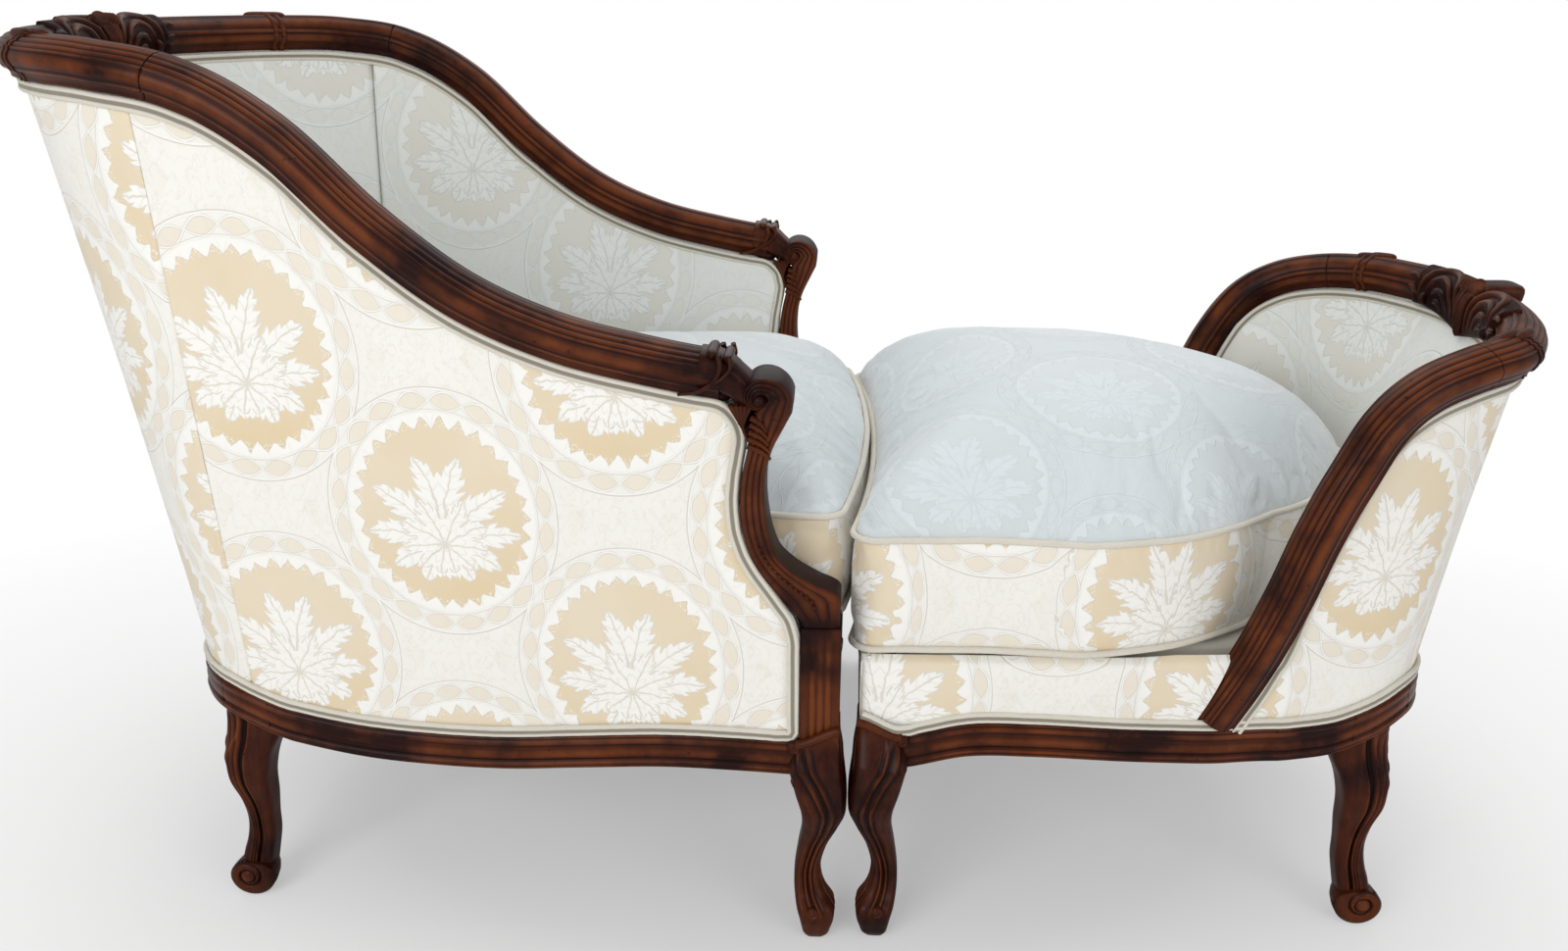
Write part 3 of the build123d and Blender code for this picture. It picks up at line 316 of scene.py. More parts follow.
def spline(points, count):
    """Points on a smooth open line through the given ones, evenly spaced."""
    points = np.array(points, float)
    k = run_along(points)
    fine = np.linspace(0, k[-1], 40 * len(points))
    cols = []
    for c in range(points.shape[1]):
        y = points[:, c]
        m = np.gradient(y, k)
        i = np.clip(np.searchsorted(k, fine, side="right") - 1, 0, len(k) - 2)
        h = k[i + 1] - k[i]
        s = (fine - k[i]) / h
        cols.append(y[i] * (2 * s**3 - 3 * s**2 + 1) + y[i + 1] * (3 * s**2 - 2 * s**3)
                    + m[i] * h * (s**3 - 2 * s**2 + s) + m[i + 1] * h * (s**3 - s**2))
    line = np.stack(cols, -1)
    d = run_along(line)
    want = np.linspace(0, d[-1], count)
    return np.stack([np.interp(want, d, line[:, c]) for c in range(points.shape[1])], -1)


def frames_along(path, closed=False, side=None):
    """Tangent, side and normal directions along a path; side is the wanted sideways direction."""
    if closed:
        tangent = np.roll(path, -1, 0) - np.roll(path, 1, 0)
    else:
        tangent = np.gradient(path, axis=0)
    tangent /= np.linalg.norm(tangent, axis=-1, keepdims=True)
    side = side - tangent * (side * tangent).sum(-1, keepdims=True)
    side /= np.linalg.norm(side, axis=-1, keepdims=True)
    return tangent, side, np.cross(tangent, side)


def tube(build, path, radius, side=(0, 0, 1), closed=False, count=10, wear=0.6, caps=True, oval=1.0):
    path = np.array(path, float)
    side = np.broadcast_to(np.array(side, float), path.shape)
    _, s, n = frames_along(path, closed, side)
    angle = full_turn(count)
    radius = np.broadcast_to(radius, (len(path),))[:, None, None]
    ring = (s[:, None] * np.cos(angle)[None, :, None] * oval + n[:, None] * np.sin(angle)[None, :, None]) * radius
    build.grid(path[:, None] + ring, wear=wear, ring=True, loop=closed, caps=caps and not closed)


# ---- Shader expressions ----
class E:
    """A value in a node tree that can be added, multiplied and compared."""
    tree = None

    def __init__(self, socket):
        self.socket = socket

    @staticmethod
    def op(kind, *items, clamp=False):
        node = E.tree.nodes.new("ShaderNodeMath")
        node.operation = kind
        node.use_clamp = clamp
        for slot_in, item in zip(node.inputs, items):
            if isinstance(item, E):
                E.tree.links.new(item.socket, slot_in)
            else:
                slot_in.default_value = item
        return E(node.outputs[0])

    def __add__(self, o): return E.op("ADD", self, o)
    def __radd__(self, o): return E.op("ADD", o, self)
    def __sub__(self, o): return E.op("SUBTRACT", self, o)
    def __rsub__(self, o): return E.op("SUBTRACT", o, self)
    def __mul__(self, o): return E.op("MULTIPLY", self, o)
    def __rmul__(self, o): return E.op("MULTIPLY", o, self)
    def __truediv__(self, o): return E.op("DIVIDE", self, o)
    def __pow__(self, o): return E.op("POWER", self, o)
    def __abs__(self): return E.op("ABSOLUTE", self)
    def sin(self): return E.op("SINE", self)
    def sqrt(self): return E.op("SQRT", self)
    def fract(self): return E.op("FRACT", self)
    def big(self, o): return E.op("MAXIMUM", self, o)

    def below(self, edge, soft=0.001):
        """1 where the value is below the edge, with a soft change."""
        return E.op("ADD", E.op("DIVIDE", edge - self, soft), 0.5, clamp=True)

    def mix(self, a, b):
        """a where the value is 0, b where it is 1."""
        return self * b + (1.0 - self) * a


def node(tree, kind, **values):
    item = tree.nodes.new(kind)
    for key, value in values.items():
        if key.startswith("_"):
            setattr(item, key[1:], value)
        else:
            item.inputs[key.replace("__", " ")].default_value = value
    return item


def material(name):
    mat = bpy.data.materials.new(name)
    mat.use_nodes = True
    tree = mat.node_tree
    E.tree = tree
    return mat, tree, tree.nodes["Principled BSDF"]


def noise(tree, vector, scale, detail=3.0, rough=0.5):
    item = node(tree, "ShaderNodeTexNoise", Scale=scale, Detail=detail, Roughness=rough)
    tree.links.new(vector, item.inputs["Vector"])
    return E(item.outputs["Fac"])


def ramp(tree, fac, stops):
    item = tree.nodes.new("ShaderNodeValToRGB")
    while len(item.color_ramp.elements) < len(stops):
        item.color_ramp.elements.new(0.5)
    for element, (spot, color) in zip(item.color_ramp.elements, stops):
        element.position = spot
        element.color = (*color, 1)
    tree.links.new(fac.socket, item.inputs["Fac"])
    return item.outputs["Color"]


def mix_color(tree, fac, a, b, kind="MIX"):
    item = tree.nodes.new("ShaderNodeMix")
    item.data_type = "RGBA"
    item.blend_type = kind
    for slot_in, value in ((item.inputs["Factor"], fac), (item.inputs["A"], a), (item.inputs["B"], b)):
        if isinstance(value, E):
            tree.links.new(value.socket, slot_in)
        elif isinstance(value, bpy.types.NodeSocket):
            tree.links.new(value, slot_in)
        elif isinstance(value, float):
            slot_in.default_value = value
        else:
            slot_in.default_value = (*value, 1)
    return item.outputs["Result"]


def bump(tree, shader, height, distance, strength=1.0):
    item = node(tree, "ShaderNodeBump", Strength=strength, Distance=distance)
    tree.links.new(height.socket, item.inputs["Height"])
    tree.links.new(item.outputs["Normal"], shader.inputs["Normal"])


def stretched(tree, source, scale):
    item = tree.nodes.new("ShaderNodeMapping")
    item.inputs["Scale"].default_value = scale
    tree.links.new(source, item.inputs["Vector"])
    return item.outputs["Vector"]


WALNUT = ((0.007, 0.0014, 0.0013), (0.021, 0.0040, 0.0023), (0.046, 0.0092, 0.0038), (0.088, 0.0215, 0.0062),
          (0.165, 0.042, 0.0105))
BEECH = ((0.28, 0.17, 0.085), (0.36, 0.23, 0.12), (0.42, 0.28, 0.15), (0.50, 0.34, 0.20), (0.54, 0.38, 0.23))


def walnut(name, along_uv, tones=WALNUT, hollow_shade=0.85):
    """Polished dark walnut: grain, pores, painted shade in hollows, rubbed edges (partly painted highlight), old
    knocks.
    """
    mat, tree, shader = material(name)
    coords = tree.nodes.new("ShaderNodeTexCoord")
    if along_uv:
        grain_space = stretched(tree, coords.outputs["UV"], (9, 260, 1))
        pore_space = stretched(tree, coords.outputs["UV"], (90, 2600, 1))
    else:
        grain_space = stretched(tree, coords.outputs["Object"], (150, 150, 12))
        pore_space = stretched(tree, coords.outputs["Object"], (1500, 1500, 80))
    grain = noise(tree, grain_space, 1.0, 5, 0.6)
    pores = noise(tree, pore_space, 1.0, 2, 0.5)
    blotch = noise(tree, coords.outputs["Object"], 11.0, 4, 0.6)
    knocks = noise(tree, coords.outputs["Object"], 120.0, 2, 0.6)
    wear = tree.nodes.new("ShaderNodeAttribute")
    wear.attribute_name = "wear"
    wear_and_shade_value = E(wear.outputs["Fac"])
    body_color = ramp(tree, grain * 0.45 + blotch * 0.55, [
        (0.32, tones[0]), (0.46, tones[1]), (0.58, tones[2]), (0.72, tones[3])])
    # rubbed edges: lighter where the wear value is high, real wear and partly a painted highlight on the crests
    rubbed_and_highlight_amount = E.op("MULTIPLY", wear_and_shade_value ** 1.6, E.op("MULTIPLY", blotch - 0.36, 4.2, clamp=True), clamp=True)
    rubbed_and_highlight = mix_color(tree, rubbed_and_highlight_amount * 0.85, body_color, tones[4])
    # painted shade: low wear values in grooves and carved hollows darken the wood towards near black
    hollow = E.op("SUBTRACT", hollow_shade, wear_and_shade_value * 3.0, clamp=True)
    deep = mix_color(tree, hollow, rubbed_and_highlight, (0.0055, 0.0022, 0.0024))
    knock_mask = knocks.below(0.30, 0.02)
    final = mix_color(tree, knock_mask * 0.6, deep, (0.006, 0.003, 0.003))
    tree.links.new(final, shader.inputs["Base Color"])
    rough = 0.27 + grain * 0.16 + hollow * 0.2
    tree.links.new(rough.socket, shader.inputs["Roughness"])
    shader.inputs["Coat Weight"].default_value = 0.05
    shader.inputs["Coat Roughness"].default_value = 0.2
    shader.inputs["Specular IOR Level"].default_value = 0.09
    bump(tree, shader, pores * 0.3 + knocks * 0.25 - knock_mask * 0.3 + grain * 0.25, 0.0005, 0.4)
    return mat


def weave(u, v, pitch_mm=0.9):
    k = 2 * math.pi / (pitch_mm / 1000)
    return (u * k).sin() * (v * k).sin()


def damask(name, ground, leaf, satin, line, origin=(0.0, 0.0), contrast=1.0, sheen=0.35, folds=0.5):
    """Woven damask: oval medallions in half-drop rows, an acanthus spray on satin in each, a looped border,
    and scrolled leaves on the ground between. Everything is worked out from the cloth's own u and v."""
    mat, tree, shader = material(name)
    coords = tree.nodes.new("ShaderNodeTexCoord")
    split = tree.nodes.new("ShaderNodeSeparateXYZ")
    tree.links.new(coords.outputs["UV"], split.inputs[0])
    wobble = noise(tree, coords.outputs["UV"], 55.0, 3)
    wobble2 = noise(tree, stretched(tree, coords.outputs["UV"], (1.3, 0.8, 1)), 70.0, 3)
    u = E(split.outputs[0]) - origin[0]
    v = E(split.outputs[1]) - origin[1]
    width, height = MEDALLION
    a, b = 0.121, 0.141

    def cell(shift):
        p = ((u / width + (shift + 0.5)).fract() - 0.5) * width
        q = ((v / height + (shift + 0.5)).fract() - 0.5) * height
        return p, q, ((p * (1 / a)) ** 2 + (q * (1 / b)) ** 2).sqrt()

    p1, q1, e1 = cell(0.0)
    p2, q2, e2 = cell(0.5)
    first = e1.below(e2, 0.002)
    p, q, e = first.mix(p2, p1), first.mix(q2, q1), first.mix(e2, e1)

    def petals(x, y, spacing, offset, length, grow, full, pitch, curl=2.4):
        """Toothed leaves round one point: their area, and the lines drawn on them."""
        r = (x * x + y * y).sqrt()
        turn = (E.op("ARCTAN2", y, x) + r * curl) * (1 / math.radians(spacing)) + offset / spacing
        part = turn.fract()
        middle = (turn - part + (0.5 - offset / spacing)) * math.radians(spacing)
        local = (part - 0.5) * math.radians(spacing)
        reach = middle.sin() * grow + length
        along = r * E.op("COSINE", local)
        across = abs(r * local.sin())
        share = E.op("DIVIDE", along, reach, clamp=True)
        tooth = (along * (1 / pitch) - across * (0.8 / pitch)).fract()
        gap = across - (share ** 0.6) * ((1.0 - share) ** 0.7) * (tooth * 0.5 + 0.62) * full
        inside = gap.below(0.0, 0.0009)
        ribs = abs(tooth - 0.5).below(0.07, 0.06) * 0.4
        strokes = abs(gap + 0.0009).below(0.0010, 0.0007).big(across.below(0.0009, 0.0006).big(ribs) * inside)
        return inside, strokes

    x = abs(p) + (wobble - 0.5) * 0.010
    y = q + (wobble2 - 0.5) * 0.010
    shape, lines = petals(x, y + 0.030, 36, 0, 0.074, 0.026, 0.047, 0.0165)
    nearer, strokes = petals(x, y + 0.034, 36, 18, 0.046, 0.012, 0.036, 0.0110)
    shape = shape.big(nearer)
    lines = (lines * (1.0 - nearer)).big(strokes)

    # Border: leaflets inside, beads, a chain of lens shapes and the outer line
    around = E.op("ARCTAN2", q * (a / b), p)
    leaflet = abs((around * (30 / (2 * math.pi))).fract() - 0.5)
    fringe_in = 0.775 + leaflet * 0.17 - 0.085 + (wobble - 0.5) * 0.10
    fringe = fringe_in.below(e, 0.012) * e.below(0.815, 0.008)
    specks = noise(tree, coords.outputs["UV"], 420.0, 1).below(0.42, 0.04) * abs(e - 0.76).below(0.055, 0.02)
    turn_u = (around * (20 / (2 * math.pi))).fract()
    chain = abs((turn_u * math.pi).sin() * 0.5 - abs(e - 0.905) * 7.0)
    lens_line = chain.below(0.055, 0.04) * (0.818 - e).below(0.0, 0.004) * e.below(0.99, 0.004)
    lens_fill = (abs(e - 0.905) * 7.0).below((turn_u * math.pi).sin() * 0.5, 0.05)
    band = (0.822 - e).below(0.0, 0.004) * e.below(0.985, 0.006)
    rims = abs(e - 0.825).below(0.007, 0.004).big(abs(e - 0.992).below(0.009, 0.005))
    outline = abs(e - 1.004).below(0.0045, 0.003).big(abs(e - 0.836).below(0.0035, 0.003) * 0.7)

    # Ground between the ovals: leaves curling from each gap's middle, with a fine line round them
    gap_x = abs(first.mix(p1, p2)) + (wobble2 - 0.5) * 0.014
    gap_y = first.mix(q1, q2) + (wobble - 0.5) * 0.014
    outside = (1.012 - e).below(0.0, 0.01)
    sprig, sprig_lines = petals(gap_x, abs(gap_y), 36, 18, 0.072, 0.006, 0.046, 0.0120, 6.0)
    fine = noise(tree, stretched(tree, coords.outputs["UV"], (1.0, 0.6, 1)), 95.0, 2, 0.55)
    fine_line = abs(fine - 0.5).below(0.016, 0.016)
    ground_lines = (sprig_lines * 0.8).big(fine_line * 0.25) * outside

    inside_oval = e.below(0.80, 0.008)
    drift = noise(tree, coords.outputs["UV"], 9.0, 2)
    gold = inside_oval * (1.0 - shape) * (1.0 - fringe) * (1.0 - specks * 0.8)
    gold = gold * (0.70 + E.op("MULTIPLY", 0.02 - y, 5.0, clamp=True) * 0.30)
    gold = gold.big(band * lens_fill * (1.0 - lens_line) * 0.34)
    gold = gold.big(sprig * outside * 0.14).big((1.0 - sprig) * outside * gap_x.below(0.050, 0.03) * 0.16)
    raised = shape.big(fringe).big(rims).big(lens_line * band).big(sprig * outside * 0.7)
    edge_line = abs(fringe_in - e).below(0.007, 0.005) * 0.5
    lines = (lines * inside_oval * 0.85).big(outline * 0.8).big(ground_lines).big(edge_line)
    lines = lines.big(abs(chain - 0.075).below(0.022, 0.02) * band * 0.45)

    thread = noise(tree, stretched(tree, coords.outputs["UV"], (1500, 130, 1)), 1.0, 2)
    tone = noise(tree, coords.outputs["UV"], 6.0, 4)
    color = mix_color(tree, raised, ground, leaf)
    color = mix_color(tree, gold * contrast * (0.75 + drift * 0.5), color, satin)
    color = mix_color(tree, lines * (0.62 * contrast), color, line)
    color = mix_color(tree, (thread * 0.5 + tone * 0.5) * 0.20, color, tuple(c * 0.74 for c in ground))
    tree.links.new(color, shader.inputs["Base Color"])
    tree.links.new((0.74 - gold * 0.30 + thread * 0.08).socket, shader.inputs["Roughness"])
    shader.inputs["Sheen Weight"].default_value = sheen
    shader.inputs["Sheen Roughness"].default_value = 0.4
    shader.inputs["Specular IOR Level"].default_value = 0.35
    bump(tree, shader, raised * 0.6 - lines * 0.5 + thread * 0.14 - gold * 0.2 + tone * folds, 0.0010, 0.6)
    return mat


def cloth(name, color, line, pitch=1.1, sheen=0.3, rough=0.85, fray=0.25):
    """Plain covered cord or cloth with a weave and uneven tone, and painted shade lines where wear is below zero."""
    mat, tree, shader = material(name)
    coords = tree.nodes.new("ShaderNodeTexCoord")
    split = tree.nodes.new("ShaderNodeSeparateXYZ")
    tree.links.new(coords.outputs["UV"], split.inputs[0])
    u, v = E(split.outputs[0]), E(split.outputs[1])
    threads = weave(u + v * 0.3, v, pitch)
    tone = noise(tree, coords.outputs["Object"], 35.0, 3)
    slub = noise(tree, coords.outputs["Object"], 260.0, 2)
    fac = E.op("ADD", tone * fray + threads * 0.10, slub * fray * 0.6, clamp=True)
    wear = tree.nodes.new("ShaderNodeAttribute")
    wear.attribute_name = "wear"
    # painted shade: below-zero wear darkens the cloth to 30 % of its line colour
    seam = E.op("MULTIPLY", E(wear.outputs["Fac"]), -1.0, clamp=True)
    threads_color = mix_color(tree, fac, color, line)
    tree.links.new(mix_color(tree, seam, threads_color, tuple(c * 0.30 for c in line)), shader.inputs["Base Color"])
    shader.inputs["Roughness"].default_value = rough
    shader.inputs["Sheen Weight"].default_value = sheen
    shader.inputs["Sheen Roughness"].default_value = 0.45
    bump(tree, shader, threads * 0.4 + slub * 0.6, 0.0006, 0.6)
    return mat


def steel(name, color, rough):
    mat, tree, shader = material(name)
    coords = tree.nodes.new("ShaderNodeTexCoord")
    scuffs = noise(tree, stretched(tree, coords.outputs["Object"], (300, 300, 40)), 1.0, 3)
    tree.links.new(mix_color(tree, scuffs * 0.5, color, tuple(c * 0.6 for c in color)), shader.inputs["Base Color"])
    tree.links.new((scuffs * 0.2 + rough).socket, shader.inputs["Roughness"])
    shader.inputs["Metallic"].default_value = 1.0
    bump(tree, shader, scuffs, 0.0003, 0.3)
    return mat


wood_run = walnut("walnut_run", True)
wood_block = walnut("walnut_block", False)
WHITE, IVORY, GOLD, SHADE = (0.88, 0.87, 0.82), (0.92, 0.91, 0.87), (0.74, 0.575, 0.33), (0.58, 0.49, 0.36)
# inside pads: a darker, cooler copy of the same damask, as painted shade
INSIDE_SHADED, INSIDE_SHADED_LEAF, INSIDE_SHADED_GOLD = (0.80, 0.815, 0.775), (0.85, 0.86, 0.83), (0.74, 0.70, 0.60)
# cushion tops: a darker, bluish, low-contrast copy of the same damask, as painted shade and painted sheen
SEAT_TOP_SHADE_SHEEN, SEAT_TOP_SHADE_SHEEN_LEAF, SEAT_TOP_SHADE_SHEEN_GOLD = (0.66, 0.72, 0.745), (0.71, 0.765, 0.79), (0.64, 0.68, 0.69)
cover_cloth = damask("damask_outside", WHITE, IVORY, GOLD, SHADE, origin=(0.422, 0.517))
# inside pads' damask, its colours lowered as painted shade
shaded_inside_cloth = damask("damask_inside_painted_shade", INSIDE_SHADED, INSIDE_SHADED_LEAF, INSIDE_SHADED_GOLD, (0.44, 0.44, 0.41),
                      origin=(0.545, 0.811), contrast=0.75)
box_cloth = damask("damask_boxing", WHITE, IVORY, GOLD, SHADE, origin=(0.333, 0.421))
ottoman_cloth = damask("damask_ottoman", WHITE, IVORY, GOLD, SHADE, origin=(0.596, 0.479))
# cushion tops' damask, with painted shade and painted sheen in its colours
seat_top_shade_sheen_cloth = damask("damask_seat_painted_shade_sheen", SEAT_TOP_SHADE_SHEEN, SEAT_TOP_SHADE_SHEEN_LEAF, SEAT_TOP_SHADE_SHEEN_GOLD, (0.56, 0.61, 0.63), origin=(0.35, 0.02), contrast=0.5,
                   sheen=0.6)
welt_cloth = cloth("welt_cloth", (0.80, 0.77, 0.68), (0.50, 0.42, 0.29))
deck_material = cloth("deck_cloth", (0.66, 0.63, 0.56), (0.50, 0.45, 0.36), 0.8)
hessian_material = cloth("hessian_cloth", (0.42, 0.31, 0.17), (0.20, 0.13, 0.06), 2.2, 0.1)
dust_material = cloth("dust_cloth", (0.018, 0.018, 0.02), (0.035, 0.035, 0.038), 0.7, 0.1)
wire_material = steel("spring_wire", (0.42, 0.42, 0.44), 0.3)
screw_material = steel("screw_zinc", (0.62, 0.60, 0.52), 0.28)
wood_plain = walnut("walnut_plain", False, hollow_shade=0.35)
beech = walnut("beech_block", False, BEECH, hollow_shade=0.0)

for node_name, cad_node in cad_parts.items():
    chosen = wood_plain
    if "springs" in node_name or "clips" in node_name:
        chosen = wire_material
    elif "screws" in node_name:
        chosen = screw_material
    elif "blocks" in node_name or "posts" in node_name:
        chosen = beech
    for spot in cad_node.material_slots:
        spot.material = chosen
    if not cad_node.material_slots:
        cad_node.data.materials.append(chosen)

# ---- Moulded rails ----
RAIL, RAIL_WEAR_AND_SHADE = chain(
    [(-16, -22), (14, -22), (17.5, -14), (22.5, -9.5), (23, 7), (20.5, 10),
     (15.5, 14.2), (9, 18), (2, 20.8), (-6, 21.3),
     (-11.5, 19.2), (-23.2, 5), (-23.8, -1), (-19.5, -13)],
    [0, -0.9, 1.4, 3.1, 1.1, 1.2, 1.2, 1.0, 0.4, 1.2, 3.0, 1.3, 2.1, -0.9])


SIDES = ((1, "left"), (-1, "right"))


def moulding(wall, body, name, node_kind, start, end, count, sign=1):
    """Plain run of the moulded rail from one t to another."""
    t = np.linspace(start, end, count)
    v = run_along(RAIL)
    uv = np.stack(np.meshgrid(wall.run_length(t) * 1.15, v, indexing="ij"), -1)
    build = Build()
    build.grid(wall.rail(t[:, None], RAIL[:, 0][None], RAIL[:, 1][None]), uv, RAIL_WEAR_AND_SHADE[None] * np.ones((count, 1)),
               ring=True, caps=True)
    build.make(f"{body}_{name}", wood_run, body, "show_wood", [f"{body}_{node_kind}"], sign=sign)


def ribbon(build, wall, t0, run_per_t):
    """Pair of narrow bands wound slantwise over the rail, and the two rolls of their knot."""
    lean, width, lift = 0.012, 0.007, 0.0016
    top_share = RAIL[:, 0] / RAIL_A
    s = np.linspace(-1, 1, 9)
    for offset in (-0.55, 0.55):
        t = t0 + ((s[:, None] * width * 0.5 + offset * width * 1.25) + top_share[None] * lean) / run_per_t
        rise = 1 + (lift / RAIL_B) * np.sqrt(np.clip(1 - s**2, 0.02, 1))[:, None] * np.ones((1, len(RAIL)))
        # the bands' edges get low values: painted shade where they sit on the rail
        build.grid(wall.rail(t, RAIL[:, 0][None] * rise, RAIL[:, 1][None] * rise),
                   wear=np.sqrt(np.clip(1 - s**2, 0, 1))[:, None] * 0.8, ring=True, caps=True)
    s = np.linspace(-1, 1, 17)
    swell = 0.0062 * np.clip(1 - s**4, 0.02, 1) ** 0.5
    for shift, side_a in ((-0.004, -0.004), (0.010, 0.006)):
        t = t0 + (shift + 0.017 * s) / run_per_t
        tube(build, wall.rail(t, side_a + 0.003 * s, 0.0205 + 0 * s), swell, count=14, wear=0.55, oval=0.8)


for wall, body, arm_run, crest_run, knot_t, run_per_t in (
        (chair, "chair", (0.205, 1.04, 260), (1.042, 2.958, 420), 1.36, 0.46),
        (ottoman, "ottoman", (0.792, 1.33, 200), (1.332, 2.668, 300), 1.46, 0.43)):
    for sign, label in SIDES:
        moulding(wall, body, f"arm_moulding_{label}", f"arm_rail_{label}", *arm_run, sign)
    moulding(wall, body, "crest_moulding", "crest_rail", *crest_run)
    build = Build()
    ribbon(build, wall, knot_t, run_per_t)
    build.mirror().make(f"{body}_ribbons", wood_run, body, "show_wood")


# ---- Carved crests: two shells beside a fluted leaf ----
def crest_carving(wall, name, body):
    build = Build()
    radius = float(wall.look(wall.rr, 2.0))
    section = np.array([(-28.6, -10), (-28.4, 2), (-25.5, 11.5), (-18.5, 19.0),
                        (-9.0, 22.6), (0.0, 23.2), (9.0, 21.0)]) / 1000

    def face(y, w, lift):
        """Point on the crest's inner and upper face, w metres up from its lower edge."""
        y, w, lift = np.broadcast_arrays(y, w, lift)
        drop = 0.017 * np.clip(1 - np.abs(y) / 0.105, 0, 1) ** 1.4
        w = w - drop - 0.012
        lengths = run_along(section)
        a = np.where(w < 0, section[0, 0], np.interp(w, lengths, section[:, 0]))
        b = np.where(w < 0, section[0, 1] + w, np.interp(w, lengths, section[:, 1]))
        lean = smooth((w - 0.006) / 0.036) * math.pi / 2
        t = 2.0 - y / (radius * math.pi / 2)
        return wall.rail(t, a - lift * np.cos(lean), b + lift * np.sin(lean))

    def rib(points, width, depth, wear=0.8, blunt=0.5):
        """Rounded rib over (y, w) points."""
        line = spline(points, 40)
        s = np.linspace(0, 1, len(line))
        taper = np.clip(np.sin(np.pi * np.clip(s * 0.94 + 0.03, 0, 1)), 0, 1) ** blunt
        way = np.gradient(line, axis=0)
        way /= np.linalg.norm(way, axis=1, keepdims=True)
        square = np.stack([-way[:, 1], way[:, 0]], -1)
        across = np.linspace(-1, 1, 13)
        round_off = np.sqrt(np.clip(1 - across**2, 0, 1))
        spots = line[:, None] + square[:, None] * across[None, :, None] * width * taper[:, None, None]
        lift = depth * round_off[None] * taper[:, None] - 0.0012
        # rib edges get zero wear: painted shade where each rib meets the ground
        build.grid(face(spots[..., 0], spots[..., 1], lift), wear=wear * round_off[None] ** 2 * np.ones((40, 1)))

    yy = np.linspace(-0.122, 0.122, 90)
    s = np.linspace(0, 1, 24)
    top = 0.064 + 0.017 * np.clip(1 - np.abs(yy) / 0.105, 0, 1) ** 1.4
    lift = np.full((90, 24), 0.0018)
    lift[[0, -1]] = lift[:, [0, -1]] = -0.0060
    build.grid(face(yy[:, None] * np.ones((1, 24)), s[None] * top[:, None], lift), wear=0.34)
    arcs = (((0.013, 0.003), (0.019, 0.028), (0.036, 0.050), (0.062, 0.058),
             (0.090, 0.048), (0.107, 0.027), (0.112, 0.008)),
            ((0.026, 0.004), (0.033, 0.024), (0.048, 0.039), (0.068, 0.043), (0.087, 0.034), (0.098, 0.019)),
            ((0.040, 0.004), (0.047, 0.018), (0.060, 0.028), (0.075, 0.027), (0.087, 0.016)),
            ((0.055, 0.003), (0.061, 0.012), (0.071, 0.015), (0.080, 0.009)))
    for points, width, depth in zip(arcs, (0.0056, 0.0052, 0.0050, 0.0050), (0.0078, 0.0068, 0.0060, 0.0052)):
        rib(points, width, depth)
    rib([(0.095, 0.004), (0.099, 0.012), (0.096, 0.019)], 0.0056, 0.0092)
    rib([(0.112, 0.012), (0.121, 0.020), (0.132, 0.022)], 0.0038, 0.0052)
    rib([(0.112, 0.030), (0.122, 0.036), (0.136, 0.036)], 0.0034, 0.0046)
    for y in (0.0050, 0.0100, 0.0150, 0.0195):
        rib([(y * 0.20, 0.003), (y * 0.55, 0.030), (y * 1.0, 0.058)], 0.0029, 0.0105 - y * 0.12, 0.7, 0.3)
        rib([(y * 1.05 - 0.001, 0.052 - y * 0.25), (y * 1.25, 0.062 - y * 0.35), (y * 1.3, 0.071 - y * 0.5)],
            0.0040, 0.0125, 0.9)
    build.mirror()
    rib([(0, 0.002), (0, 0.030), (0, 0.060)], 0.0030, 0.0118, 0.8, 0.3)
    rib([(0, 0.052), (0, 0.064), (0, 0.073)], 0.0044, 0.0135, 0.9)
    psi = full_turn(40)
    block_round = (np.abs(np.cos(psi)) ** 5 + np.abs(np.sin(psi)) ** 5) ** (-1 / 5)
    rings = []
    for share, rise in ((1.0, 0.010), (1.04, 0.019), (1.02, 0.0235), (0.94, 0.0262),
                        (0.70, 0.0272), (0.30, 0.0275), (0.02, 0.0275)):
        y = 0.021 * share * block_round * np.cos(psi)
        a = 0.003 + 0.027 * share * block_round * np.sin(psi)
        rings.append(wall.rail(2.0 - y / (radius * math.pi / 2), a, rise + 0 * a))
    build.grid(np.stack(rings), wear=np.array([0.2, 0.6, 0.5, 0.4, 0.2, 0.2, 0.2])[:, None], ring=True, flip=True)
    build.make(name, wood_block, body, "show_wood")


for wall, body in ((chair, "chair"), (ottoman, "ottoman")):
    crest_carving(wall, f"{body}_crest_carving", body)


# ---- Seat rails ----
SEAT, SEAT_WEAR_AND_SHADE = (part[:-2] for part in chain(
    [(-0.5, 0), (0.6, 4), (0.2, 9.5), (-1.2, 11), (-1.4, 26), (-1.0, 28), (-2.4, 36), (-3.2, 38)],
    [0.9, 1.2, 0, 1.6, 0, 1.5, 0.2, 0]))
SEAT_DEEP = 0.038


def seat_rail(build, wall, start, end, count):
    """Moulded seat rail: its section outside, then the plain back and underside."""
    t = np.linspace(start, end, count)
    ledge = wall.look(wall.ll, t)[:, None]
    reach = wall.look(wall.lr, t)[:, None]
    outer = np.concatenate([SEAT, [[-0.0032, SEAT_DEEP], [-0.013, SEAT_DEEP]]])
    strip = ledge * 0 + wall.strip
    a = np.concatenate([reach + outer[None, :, 0], reach - 0.013, reach - 0.036, reach - 0.036], 1)
    z = np.concatenate([ledge - SEAT_DEEP + outer[None, :, 1], strip, strip, ledge - SEAT_DEEP], 1)
    wear = np.concatenate([SEAT_WEAR_AND_SHADE, [0.3, 0, 0, 0, 0]])
    build.grid(wall.at(t[:, None], a, z), wear=wear[None] * np.ones((count, 1)), ring=True, caps=True)


